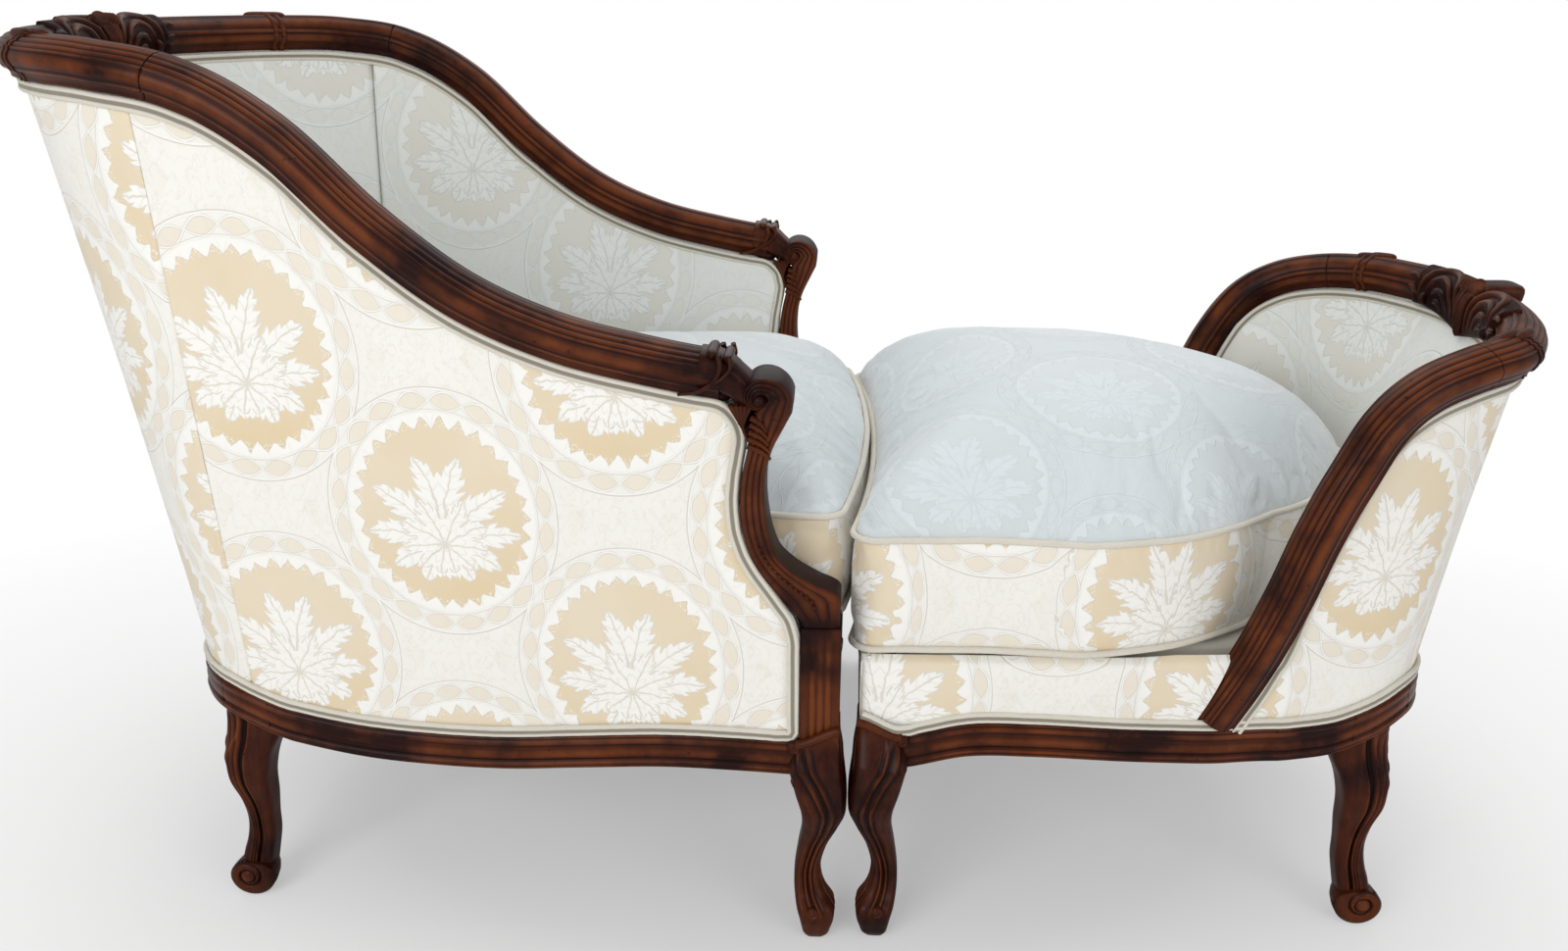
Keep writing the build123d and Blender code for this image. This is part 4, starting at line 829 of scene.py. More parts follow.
for wall, body, front_t, leg_start, leg_end in ((chair, "chair", 0.0828, 1.055, 1.200),
                                                 (ottoman, "ottoman", 0.104, 1.120, 1.320)):
    for sign, label in SIDES:
        build = Build()
        seat_rail(build, wall, front_t, leg_start, 150)
        build.make(f"{body}_seat_moulding_{label}", wood_run, body, "show_wood", [f"{body}_side_rail_{label}"],
                   sharp=35, sign=sign)
    build = Build()
    seat_rail(build, wall, leg_end, 4 - leg_end, 160)
    build.make(f"{body}_back_moulding", wood_run, body, "show_wood", [f"{body}_back_rail"], sharp=35)

LEG_HIGH = 0.250

# ---- Legs ----
FRONT_LEG = ((0.000, 0.34, 0.60), (0.030, 0.50, 0.64), (0.060, 0.57, 0.66), (0.108, 0.66, 0.69), (0.165, 0.72, 0.60),
             (0.228, 0.58, 0.20), (0.328, 0.48, 0.00), (0.468, 0.50, 0.26), (0.608, 0.64, 0.77), (0.704, 0.80, 1.00),
             (0.800, 0.93, 0.83), (0.920, 1.00, 0.50))
REAR_LEG = ((0.000, 0.30, 0.60), (0.060, 0.50, 0.56), (0.140, 0.56, 0.46), (0.204, 0.56, 0.32), (0.276, 0.52, 0.12),
            (0.388, 0.48, 0.00), (0.480, 0.54, 0.00), (0.632, 0.71, 0.15), (0.744, 0.82, 0.00), (0.852, 0.95, -0.40),
            (0.940, 1.00, -0.60), (1.030, 1.00, -0.60))


def leg_rings(wall, ankle, rows, knee_width, sweep, toe):
    """Height, middle and half width of a leg's sections, 120 of them."""
    stretch = np.array([1, 0.15, 0.05])
    h, w, s = (spline(np.array(rows) * stretch, 120) / stretch).T
    swing = sweep * s
    x = wall.facing * (ankle[0] - toe * swing) + ORIGIN_X
    y = ankle[1] + swing
    return h * LEG_HIGH, x, y, w * knee_width / 2


def knee_top(wall, away):
    """Height of the bead that slopes over a front knee, at a distance from the meeting plane."""
    return float(wall.look(wall.ll, 0.0)) + 0.0070 + 0.0185 * (1 - smooth((away - 0.006) / 0.050))


def volute(build, centre, away, out, thick):
    """Scroll foot: a band that curls under, round and up to a domed eye, on a plain drum."""
    fall, widest = 0.0022 * 180 / math.pi, 0.0330
    n, m = 44, 108
    turn = full_turn(m)
    outline = widest * np.exp(-fall * turn)
    outline = outline + (widest - outline) * smooth((turn - 4.9) / 1.3)
    rho = np.linspace(0.02, 1, n)[:, None]
    r = rho * outline[None]
    lap = np.log(widest / r) / fall - turn[None]
    share = (lap / (2 * math.pi)) % 1
    swell = 1 - np.abs(2 * share - 1) ** 3.5
    eye = 0.0092
    swell = np.where(r < eye, np.sqrt(np.clip(1 - (r / eye) ** 2, 0, 1)) * 1.5, swell * smooth((r - eye) / 0.0012))
    height = 0.0044 * swell - 0.0012
    # the groove between the turns gets low values: painted shade
    wear = np.clip(swell * 0.62, 0, 1)
    flat = np.stack([-np.cos(turn), -np.sin(turn)], -1)[None] * r[..., None]
    spots = flat[..., :1] * away + out * (height + thick)[..., None]
    spots[..., 2] += flat[..., 1]
    drum = []
    for depth, grow in ((thick * 0.94, 1.0), (thick * 0.3, 1.0),
                        (-thick * 0.5, 0.93), (-thick * 1.2, 0.80), (-thick * 1.5, 0.62)):
        ring = flat[-1] * grow
        side = ring[:, :1] * away + out * depth
        side[:, 2] += ring[:, 1]
        drum.append(side)
    spots = np.concatenate([spots, np.stack(drum)]) + centre
    spots[..., 2] = np.maximum(spots[..., 2], 0.0002)
    wear = np.concatenate([wear, np.full((5, m), 0.4)])
    build.grid(spots, wear=wear, ring=True, caps=True)


def carved_leg(build, wall, ankle, rows, knee_width, sweep, toe, front):
    z, x, y, half = leg_rings(wall, ankle, rows, knee_width, sweep, toe)
    if front:
        k = smooth(np.linspace(0.04, 1, 24))
        stile_y = float(wall.look(wall.lr, 0.0)) - 0.0227
        x = np.concatenate([x, x[-1] + (wall.facing * 0.031 + ORIGIN_X - x[-1]) * k])
        y = np.concatenate([y, y[-1] + (stile_y - y[-1]) * k])
        half = np.concatenate([half, half[-1] + (0.0222 - half[-1]) * k])
        z = np.concatenate([z, z[-1] + (0.282 - z[-1]) * np.linspace(0.04, 1, 24) ** 1.3])
    m = 216
    psi = full_turn(m)
    c, s = np.cos(psi), np.sin(psi)
    round_r = 1 / (np.abs(c) ** 4.5 + np.abs(s) ** 4.5) ** (1 / 4.5)
    share = z / LEG_HIGH
    # gap: angle from the outward diagonal, between the two show faces
    gap = np.abs((psi - math.atan2(1, -wall.facing * toe) + math.pi) % (2 * math.pi) - math.pi)[None]
    if front:
        lane = np.interp(share, [0.14, 0.22, 0.32, 0.45, 0.60, 0.72, 0.84, 0.93, 1.02],
                         [0.74, 0.74, 0.70, 0.58, 0.48, 0.54, 0.80, 1.08, 1.40])[:, None]
        rows_of = ((-0.19, 1.9, 0.070), (0.19, 1.9, 0.070), (0.0, -1.6, 0.085),
                   (0.35, -1.1, 0.07), (-0.35, -1.1, 0.07),
                   (0.62, 0.9, 0.07))
        fade = smooth((share - 0.13) / 0.06)[:, None] * smooth((1.06 - share) / 0.08)[:, None]
    else:
        lane = np.interp(share, [0.15, 0.30, 0.50, 0.75, 1.0], [1.00, 0.92, 0.64, 0.56, 0.54])[:, None]
        rows_of = ((0.0, -3.2, 0.085), (-0.17, 1.7, 0.075), (0.17, 1.4, 0.075),
                   (-0.36, 1.3, 0.065), (-0.27, -1.2, 0.05),
                   (-0.54, 1.0, 0.06), (-0.45, -1.0, 0.05))
        fade = smooth((share - 0.10) / 0.06)[:, None] * smooth((1.00 - share) / 0.05)[:, None]
    relief = sum(deep * np.exp(-((gap - lane - off) / wide) ** 2) for off, deep, wide in rows_of) * fade
    if not front:
        leaf_edge = np.abs(gap - 0.42 * smooth((share - 0.72) / 0.22)[:, None])
        relief = relief + 1.5 * np.exp(-(leaf_edge / 0.06) ** 2) * smooth((share - 0.70) / 0.05)[:, None]
    radius = half[:, None] * round_r[None] * 0.985 + relief / 1000
    points = np.stack([x[:, None] + radius * c[None], y[:, None] + radius * s[None],
                       z[:, None] * np.ones((1, m))], -1)
    if front:
        points[..., 2] = np.minimum(points[..., 2], knee_top(wall, wall.facing * (points[..., 0] - ORIGIN_X)))
    # carved hollows get low values (painted shade), raised carving high ones (rubbed, partly painted highlight)
    wear = np.clip(0.34 + 0.30 * relief, 0, 1)
    build.grid(points, wear=wear, ring=True, caps=True)


def boss(build, centre, normal, radius, turns=1.6, depth=0.004):
    """Round boss with a spiral line cut into it."""
    normal = np.array(normal, float)
    normal /= np.linalg.norm(normal)
    up = np.array([0, 0, 1.0])
    sideways = np.cross(normal, up)
    n, m = 14, 32
    r = np.linspace(0.02, 1, n)
    psi = full_turn(m)
    rr, pp = np.meshgrid(r, psi, indexing="ij")
    dome = depth * (1 - rr**4) + 0.0011 * np.cos(2 * math.pi * (rr * turns) - pp) * (1 - rr**6)
    points = (np.array(centre)
              + radius * rr[..., None] * (np.cos(pp)[..., None] * sideways + np.sin(pp)[..., None] * up)
              + normal * dome[..., None])
    build.grid(points, wear=0.25 + 0.5 * (dome / depth) * 0.5, ring=True)


LEGS = ((chair, "chair", (0.0445, 0.308), (0.698, 0.262), (1.055, 1.200), 0.400),
        (ottoman, "ottoman", (0.0445, 0.302), (0.583, 0.241), (1.120, 1.320), 0.2585))
for wall, body, front_ankle, rear_ankle, (leg_start, leg_end), stile_top in LEGS:
    f = wall.facing
    for sign, label in SIDES:
        build = Build()
        carved_leg(build, wall, front_ankle, FRONT_LEG, 0.060, 0.0175, 1, True)
        outer = float(wall.look(wall.lr, 0.0)) + 0.0003
        # stile with a sunk panel on its show face
        n = 40
        zz = np.linspace(0.178, stile_top, n)
        near, far = 0.010, 0.052
        lane = np.linspace(0, 1, 29)
        sunk = smooth((lane - 0.16) / 0.08) * smooth((0.84 - lane) / 0.08)
        reeds = 1.9 * np.abs(np.sin((lane - 0.2) / 0.6 * math.pi * 3)) ** 0.8 * sunk
        top_fade = smooth((stile_top - 0.008 - zz) / 0.012) * smooth((zz - wall.look(wall.ll, 0.0) + 0.005) / 0.02)
        show_y = outer - 0.0030 * sunk[None] * top_fade[:, None] + 0.001 * (reeds[None] * top_fade[:, None])
        sx = near + (far - near) * lane[None] * np.ones((n, 1))
        ring_x = np.concatenate([sx, np.full((n, 2), far), sx[:, ::-4], np.full((n, 2), near)], 1)
        inner_y = outer - 0.046
        ring_y = np.concatenate([show_y, np.full((n, 1), outer - 0.002), np.full((n, 1), inner_y + 0.002),
                                 np.full((n, 8), inner_y), np.full((n, 1), inner_y + 0.002),
                                 np.full((n, 1), outer - 0.002)], 1)
        ring_z = zz[:, None] * np.ones((1, ring_x.shape[1]))
        points = np.stack([f * ring_x + ORIGIN_X, ring_y, ring_z], -1)
        # the sunk panel and its reeds' hollows keep low values: painted shade
        wear = np.zeros((n, ring_x.shape[1])) + 0.2
        wear[:, :29] += 0.5 * (reeds[None] * top_fade[:, None]) + 0.35 * (1 - sunk[None])
        build.grid(points, wear=wear, ring=True, caps=True, flip=f > 0)
        bead_x = np.linspace(0.0095, 0.058, 24)
        bead = np.stack([f * bead_x + ORIGIN_X, outer + 0.0020 + 0 * bead_x, knee_top(wall, bead_x) - 0.002], -1)
        tube(build, bead, 0.0050, side=(0, 0, 1), count=14, wear=0.6)
        level = float(wall.look(wall.ll, 0.0))
        boss(build, (f * 0.0585 + ORIGIN_X, outer + 0.0010, level + 0.001), (0, 1, 0), 0.0078, 1.4, 0.0065)
        boss(build, (f * 0.0545 + ORIGIN_X, outer + 0.0030, level - 0.041), (f * 0.3, 1, 0), 0.0078, 1.4, 0.0070)
        side_y = front_ankle[1] + 0.0175 * 0.62 + 0.0165
        boss(build, (f * (front_ankle[0] - 0.008) + ORIGIN_X, side_y + 0.0015, 0.040),
             (0, 1, 0.12), 0.0088, 1.5, 0.0062)
        build.make(f"{body}_front_leg_carved_{label}", wood_block, body, "show_wood", [f"{body}_front_leg_{label}"],
                   sign=sign)

        build = Build()
        carved_leg(build, wall, rear_ankle, REAR_LEG, 0.066, 0.0195, -1, False)
        seat_rail(build, wall, leg_start, leg_end, 30)
        centre = np.array([f * (rear_ankle[0] + 0.0170) + ORIGIN_X, rear_ankle[1] + 0.0155, 0.0275])
        volute(build, centre, np.array([float(f), 0.0, 0.0]), np.array([0.0, 1.0, 0.0]), 0.0145)
        build.make(f"{body}_rear_leg_carved_{label}", wood_block, body, "show_wood", [f"{body}_rear_leg_{label}"],
                   sign=sign)

# ---- Arm supports with reeds that run up into the scroll ----
SUPPORT = np.array((
    ((-0.0515, 0.398), (-0.0115, 0.398)), ((-0.0535, 0.408), (-0.0105, 0.420)), ((-0.0630, 0.420), (-0.0115, 0.436)),
    ((-0.0800, 0.444), (-0.0350, 0.450)), ((-0.0920, 0.461), (-0.0590, 0.466)), ((-0.1020, 0.481), (-0.0740, 0.482)),
    ((-0.1090, 0.503), (-0.0815, 0.502)), ((-0.1130, 0.530), (-0.0860, 0.528)), ((-0.1120, 0.560), (-0.0875, 0.555)),
    ((-0.1080, 0.586), (-0.0850, 0.584)), ((-0.1030, 0.606), (-0.0790, 0.606)), ((-0.0975, 0.626), (-0.0685, 0.628)),
    ((-0.0955, 0.645), (-0.0600, 0.645))))


polar, round_angle = np.meshgrid(np.linspace(0.05, math.pi - 0.05, 9), full_turn(14),
                                 indexing="ij")
BALL = np.stack([np.sin(polar) * np.cos(round_angle), np.sin(polar) * np.sin(round_angle), np.cos(polar)], -1)


def place(x, y, z):
    """Point given from the meeting plane, in the scene's frame."""
    return np.array([x + ORIGIN_X, y, z])


SUPPORT_Y, SCROLL = 0.340, np.array([-0.0915, 0.6585])
FACES = (1, -1)
SCROLL_REACH, SCROLL_FALL = 0.0325, 0.0043
FILLERS = ((-0.1080, 0.3368, 0.6370, (0.0105, 0.0190, 0.0200)), (-0.1330, 0.3360, 0.6570, (0.0160, 0.0135, 0.0090)),
           (-0.1035, 0.3355, 0.6230, (0.0085, 0.0170, 0.0150)))


def arm_support(sign, label):
    stem, turns_count = 110, 150
    rear, front = spline(SUPPORT[:, 0], stem), spline(SUPPORT[:, 1], stem)
    theta = np.linspace(0, math.radians(560), turns_count)
    ray = np.stack([np.cos(theta), np.sin(theta)], -1)
    outer, inner = (SCROLL + ray * (SCROLL_REACH * np.exp(-SCROLL_FALL * (np.degrees(theta) + lap)))[:, None]
                    for lap in (0, 360))
    rear, front = np.concatenate([rear, inner]), np.concatenate([front, outer])
    middle_y = 0.3112 + 0.0288 * np.clip((rear[:, 1] * 0.5 + front[:, 1] * 0.5 - STILE_TOP) / 0.26, 0, 1.05)
    half = 0.0225 + 0.0035 * smooth((rear[:, 1] - 0.56) / 0.08)
    half = half + 0.0022 * np.concatenate([np.zeros(stem), np.linspace(0, 1, turns_count)])
    lanes = np.linspace(0, 1, 33)
    reed = np.abs(np.sin(lanes * math.pi * 4)) ** 0.7
    base = smooth((np.arange(stem + turns_count) - 2) / 10)
    relief = 0.0017 * reed[None] * base[:, None]
    rim = 0.0035 * (1 - np.clip(np.minimum(lanes, 1 - lanes) / 0.12, 0, 1)) ** 2
    across = rear[:, None] * (1 - lanes[None, :, None]) + front[:, None] * lanes[None, :, None]
    y_out = middle_y[:, None] + half[:, None] + relief - rim[None] - 0.001
    y_in = middle_y[:, None] - half[:, None] - relief + rim[None] + 0.001
    xs, zs = (np.concatenate([across[..., k], across[:, ::-1, k]], 1) for k in (0, 1))
    ys = np.concatenate([y_out, y_in[:, ::-1]], 1)
    # the hollows between the reeds get low values: painted shade
    wear = np.concatenate([reed, reed[::-1]])[None] * base[:, None] * 0.75 + 0.08
    build = Build()
    build.grid(np.stack([xs + ORIGIN_X, ys, zs], -1), wear=wear, ring=True, caps=True, flip=True)
    # leaf fan under the scroll, and the plain fillers and leaf between scroll, rail and cloth
    for k in range(5):
        z0 = 0.640 - 0.0075 * k
        y0 = 0.3112 + 0.0288 * (z0 - STILE_TOP) / 0.26
        for face in FACES:
            path = spline([place(-0.0995 - 0.001 * k, y0 + face * 0.0245, z0),
                           place(-0.0920, y0 + face * 0.0265, z0 - 0.004),
                           place(-0.0850 + 0.001 * k, y0 + face * 0.0250, z0 - 0.013)], 12)
            tube(build, path, np.linspace(0.0034, 0.0016, 12), side=(0, 1, 0), count=8)
    # the fillers get a low value: painted shade darkens them between scroll, rail and cloth
    for x, y, z, radii in FILLERS:
        build.grid(place(x, y, z) + BALL * np.array(radii), wear=0.15, ring=True)
    for k in range(5):
        for face in FACES:
            path = spline([place(-0.1015, 0.3350 + face * 0.0195, 0.611),
                           place(-0.1075, 0.3368 + face * 0.0215, 0.627),
                           place(-0.1200 + 0.0050 * k, 0.3390 + face * 0.0205, 0.652)], 14)
            tube(build, path, np.linspace(0.0010, 0.0029, 14), side=(0, 1, 0), count=8, wear=0.6)
    # pearls along the curve above the stile, and the scroll's eye
    for row in range(12, 51, 3):
        x, z = across[row, 16]
        for face in FACES:
            build.grid(place(x, middle_y[row] + face * (half[row] + 0.0004), z) + BALL * 0.0019, wear=0.75, ring=True)
    for face in FACES:
        build.grid(place(SCROLL[0], middle_y[-1] + face * (half[-1] - 0.004), SCROLL[1])
                   + BALL * np.array([0.0062, 0.0078, 0.0062]), wear=0.7, ring=True)
    build.make(f"chair_support_reeded_{label}", wood_run, "chair", "show_wood",
               [f"chair_arm_support_{label}"], sign=sign)

    # plain neck between the moulding and the scroll, with two curled ribbon ends over it
    build = Build()
    path = spline([(-0.150, SUPPORT_Y, 0.6835), (-0.132, SUPPORT_Y, 0.6815), (-0.116, SUPPORT_Y, 0.6720),
                   (-0.100, SUPPORT_Y, 0.6600)], 30)
    s = np.linspace(0, 1, 30)
    _, side_v, normal_v = frames_along(path, False, np.broadcast_to(np.array([0, 1.0, 0]), path.shape))
    psi = full_turn(28)
    c, q = np.cos(psi), np.sin(psi)
    r = 1 / (np.abs(c) ** 3.5 + np.abs(q) ** 3.5) ** (1 / 3.5)
    wide, deep = 0.0245 - 0.001 * s, 0.0205 - 0.0075 * smooth(s)
    points = (path[:, None] + side_v[:, None] * (c * r)[None, :, None] * wide[:, None, None]
              + normal_v[:, None] * (q * r)[None, :, None] * deep[:, None, None])
    points[..., 0] += ORIGIN_X
    build.grid(points, wear=0.45, ring=True, caps=True)
    ribbon_half = 0.0262
    turns = np.linspace(0, math.radians(500), 70)
    yy = np.linspace(-1, 1, 15)
    dome = np.sqrt(np.clip(1 - yy**6, 0, 1))
    for x0, z0, radius in ((-0.1365, 0.7000, 0.0066), (-0.1215, 0.6955, 0.0058)):
        curl = radius * (1 - turns / turns[-1] * 0.82)
        px = x0 + curl[:, None] * np.cos(-turns + 2.6)[:, None] * dome[None]
        pz = z0 + curl[:, None] * np.sin(-turns + 2.6)[:, None] * dome[None]
        py = SUPPORT_Y + ribbon_half * yy[None] * np.ones((70, 1))
        build.grid(np.stack([px + ORIGIN_X, py, pz], -1), wear=0.35)
    for shift, thick in ((0.0, 0.0030), (0.010, 0.0026)):
        for face in FACES:
            path = spline([place(x, SUPPORT_Y + face * out, z) for x, out, z in (
                (-0.1300 + shift, 0.0235, 0.7010), (-0.1285 + shift, ribbon_half, 0.690),
                (-0.1340 + shift * 0.5, ribbon_half, 0.678),
                (-0.1480, 0.0240, 0.667), (-0.1700, 0.0190, 0.6610))], 30)
            tube(build, path, np.linspace(thick, thick * 0.6, 30), side=(0, 1, 0), count=8)
    build.make(f"chair_arm_terminal_{label}", wood_block, "chair", "show_wood", sign=sign)


for sign, label in SIDES:
    arm_support(sign, label)


# ---- Upholstered walls ----
CLOTH_LIFT = 0.0005
HAIR = 0.0003


def rear_edge_x(z):
    """Edge of the side's cloth behind the support, rounded into the rail's underside at its top."""
    table = np.array([(-0.0527, 0.20), (-0.0527, 0.39), (-0.0590, 0.411), (-0.0800, 0.444), (-0.0960, 0.468),
                      (-0.1060, 0.490), (-0.1125, 0.515), (-0.1145, 0.545), (-0.1120, 0.573), (-0.1075, 0.597),
                      (-0.1050, 0.615), (-0.1090, 0.632), (-0.1230, 0.648), (-0.1500, 0.659), (-0.20, 0.664)])
    return np.interp(z, table[:, 1], table[:, 0])


def roll_off(d, radius):
    """How far a rounded edge falls back at the distance d from it."""
    return radius * (1 - np.sqrt(np.clip(1 - (1 - np.clip(d / radius, 0, 1)) ** 2, 0, 1)))


def edge_distance(n, m, spacing_u, spacing_v, foot_too):
    """Distance of each grid point from the two ends, the top and, if foot_too, the foot."""
    i, j = np.meshgrid(np.arange(n), np.arange(m), indexing="ij")
    d = np.minimum(np.minimum(i, n - 1 - i) * spacing_u, (m - 1 - j) * spacing_v)
    return np.minimum(d, j * spacing_v) if foot_too else d


rng = np.random.default_rng(7)
WAVES = [(rng.uniform(-1, 1, 2) * 26, rng.uniform(0, 6.28), rng.uniform(0.3, 1)) for _ in range(14)]


def soft_wave(u, v, scale=1.0):
    """Gentle unevenness, the same for every run."""
    total = 0
    for (ku, kv), phase, weight in WAVES:
        total = total + weight * np.sin((ku * u + kv * v) * scale + phase)
    return total / 7.5


def front_line(wall, low, high, m):
    """t of the side cloth's front edge at each of m heights, found by halving."""
    row = np.linspace(0, 1, m)
    near, far = np.full(m, 0.05), np.full(m, 0.40)
    for _ in range(40):
        middle = (near + far) / 2
        behind = middle > -rear_edge_x(low(middle) + (high(middle) - low(middle)) * row) / wall.reach
        near, far = np.where(behind, near, middle), np.where(behind, middle, far)
    return far[None]


def shell(build, face, uv, back, flip=False):
    """A surface with a plain back behind it, joined along the edges."""
    build.grid(face, uv, flip=flip)
    build.grid(back, uv, flip=not flip)
    for k in (0, -1):
        build.grid(np.stack([face[k], back[k]], 0), np.stack([uv[k], uv[k]], 0), flip=(k == 0) == flip)
        build.grid(np.stack([face[:, k], back[:, k]], 0), np.stack([uv[:, k], uv[:, k]], 0), flip=(k == 0) != flip)


def upholster(wall, body, name, replaces, t, z, fall, outside, wave, cloth_of, sign=1):
    """Cover (outside) or pad of a wall over a grid of t and z, with its back a little inside it."""
    u = wall.run_length(t)
    reach_at, way, back_gap, fill = (wall.cover, 1, 0.004, 1.0) if outside else (wall.pad, -1, 0.0162, 0.8)
    reach = reach_at(t, z) - way * (fall - wave * soft_wave(u, z))
    build = Build()
    shell(build, wall.at(t, reach, z), np.stack([u, z], -1),
          wall.at(t, wall.cover(t, z) - back_gap, z), flip=not outside)
    build.make(f"{body}_{name}", cloth_of, body, "wall_damask", [f"{body}_{replaces}"], pad=fill, sign=sign)


def low_line(wall, outside):
    if outside:
        return lambda t: wall.look(wall.ll, t) + CLOTH_LIFT
    return lambda t: wall.deck - 0.014 + 0 * t


TURN_START = 1.100
for outside, kind, node_kind, roll, side_wave, back_wave, cloth_of in (
        (True, "cover", "outside_cover", 0.0022, 0.0009, 0.0009, cover_cloth),
        (False, "pad", "inside_pad", 0.010, 0.0016, 0.0018, shaded_inside_cloth)):
    low = low_line(chair, outside)
    n, m = 230, 90
    s, eta = np.meshgrid(np.linspace(0, 1, n), np.linspace(0, 1, m), indexing="ij")
    first = front_line(chair, low, chair.head, m)
    t = first + (TURN_START - first) * s
    z = low(t) + (chair.head(t) - low(t)) * eta
    fall = roll_off(edge_distance(n, m, chair.reach * TURN_START / n, 0.42 / m, outside), roll)
    for sign, label in SIDES:
        upholster(chair, "chair", f"{kind}_{label}", f"{node_kind}_{label}",
                  t, z, fall, outside, side_wave, cloth_of, sign)
    n, start, end = 320, TURN_START + CLOTH_LIFT, 4 - TURN_START - CLOTH_LIFT
    s, eta = np.meshgrid(np.linspace(0, 1, n), np.linspace(0, 1, m), indexing="ij")
    t = start + (end - start) * s
    z = low(t) + (chair.head(t) - low(t)) * eta
    fall = roll_off(edge_distance(n, m, 0.5 * (end - start) / n, 0.42 / m, outside), roll)
    upholster(chair, "chair", f"{kind}_back", f"{node_kind}_back", t, z, fall, outside, back_wave, cloth_of)

for outside, kind, node_kind, first, roll, wave, cloth_of in (
        (True, "cover", "outside_cover", 0.800, 0.002, 0.0008, ottoman_cloth),
        (False, "pad", "inside_pad", 0.885, 0.009, 0.0014, shaded_inside_cloth)):
    low = low_line(ottoman, outside)
    s, eta = np.meshgrid(np.linspace(-1, 1, 380), np.linspace(0, 1, 70), indexing="ij")
    t = 2.0 + (2.0 - first) * s
    room = np.maximum(ottoman.head(t) - low(t), 0.0006)
    near_top = (1 - eta) * room
    fall = roll_off(np.minimum(eta * room, near_top) if outside else near_top, roll)
    upholster(ottoman, "ottoman", kind, node_kind, t, low(t) + room * eta, fall, outside, wave, cloth_of)
# ---- Double welts ----
OUTER_CORD, INNER_CORD = 0.0033, 0.0029
UNDER_RAIL, ABOVE_LEDGE, BEHIND_SUPPORT = 0.0075, 0.0072, 0.0074
lobes = full_turn(22)


def double_cord(build, path, normal, radius=OUTER_CORD):
    """Two cords side by side on a face, with a painted shade line (wear below zero) in the groove between them."""
    _, across, out = frames_along(path, False, np.cross(np.gradient(path, axis=0), normal))
    out = out * np.sign((out * normal).sum(-1, keepdims=True))
    c, s = np.cos(lobes), np.sin(lobes)
    two = np.abs(c) ** 0.75 * np.sign(c) * 2.0
    waist = 0.38 + 0.62 * np.clip(np.abs(c) * 1.8, 0, 1) ** 0.8
    wobble = 1 + 0.05 * np.sin(np.arange(len(path)) * 1.7) + 0.04 * np.sin(np.arange(len(path)) * 0.53)
    ring = (across[:, None] * (two * radius)[None, :, None]
            + out[:, None] * (s * waist * radius * 1.15)[None, :, None] * wobble[:, None, None])
    # painted shade in the groove between the two cords
    between = np.where(np.abs(c) < 0.2, -0.8, 0.5)
    build.grid(path[:, None] + ring + out[:, None] * radius * 0.9, wear=between[None], ring=True, caps=True)


def chair_loop(reach_at, way, bottom):
    """Welt's line on one side: along the foot if bottom, up behind the support, under the rail to the back."""
    spots = []
    if bottom:
        spots = [(t, float(chair.look(chair.ll, t)) + ABOVE_LEDGE) for t in np.linspace(2.0, 0.100, 240)]
    z_start = spots[-1][1] if spots else chair.deck - 0.006
    spots += [((BEHIND_SUPPORT - float(rear_edge_x(z))) / chair.reach, z)
              for z in np.linspace(z_start + 0.004, 0.6475, 90)]
    spots += [(t, float(chair.head(t) - UNDER_RAIL)) for t in np.linspace(0.250, 2.0, 300)]
    line = np.array(spots)
    t, z = spline(line[::3] if len(line) % 3 == 1 else np.concatenate([line[::3], line[-1:]]), 620).T
    return chair.at(t, reach_at(t, z), z), chair.out(t) * way


for name, reach_at, way, bottom, radius, nodes in (
        ("outer", chair.cover, 1, True, OUTER_CORD, ["chair_top_welt", "chair_bottom_welt"]),
        ("inner", lambda t, z: chair.pad(t, z) + 0.002, -1, False, INNER_CORD, ["chair_inner_welt"])):
    build = Build()
    double_cord(build, *chair_loop(reach_at, way, bottom), radius)
    build.mirror().make(f"chair_{name}_welts", welt_cloth, "chair", "double_welt", nodes)

build = Build()
t = np.linspace(0.026, 2.0, 340)
z = np.maximum(ottoman.look(ottoman.ll, t) + ABOVE_LEDGE, np.where(t < 0.13, knee_top(ottoman, t * 0.5) + 0.0050, 0))
forward = 0.0055 * (1 - smooth((t - 0.10) / 0.06))
double_cord(build, ottoman.at(t, ottoman.cover(t, z) + forward, z), ottoman.out(t))
t = np.linspace(0.835, 2.0, 320)
z = ottoman.head(t) - UNDER_RAIL
double_cord(build, ottoman.at(t, ottoman.cover(t, z), z), ottoman.out(t))
t = np.linspace(0.925, 2.0, 300)
z = ottoman.head(t) - 0.0070
double_cord(build, ottoman.at(t, ottoman.pad(t, z) + 0.002, z), -ottoman.out(t), INNER_CORD)
build.mirror().make("ottoman_welts", welt_cloth, "ottoman", "double_welt", ["ottoman_bottom_welt"])

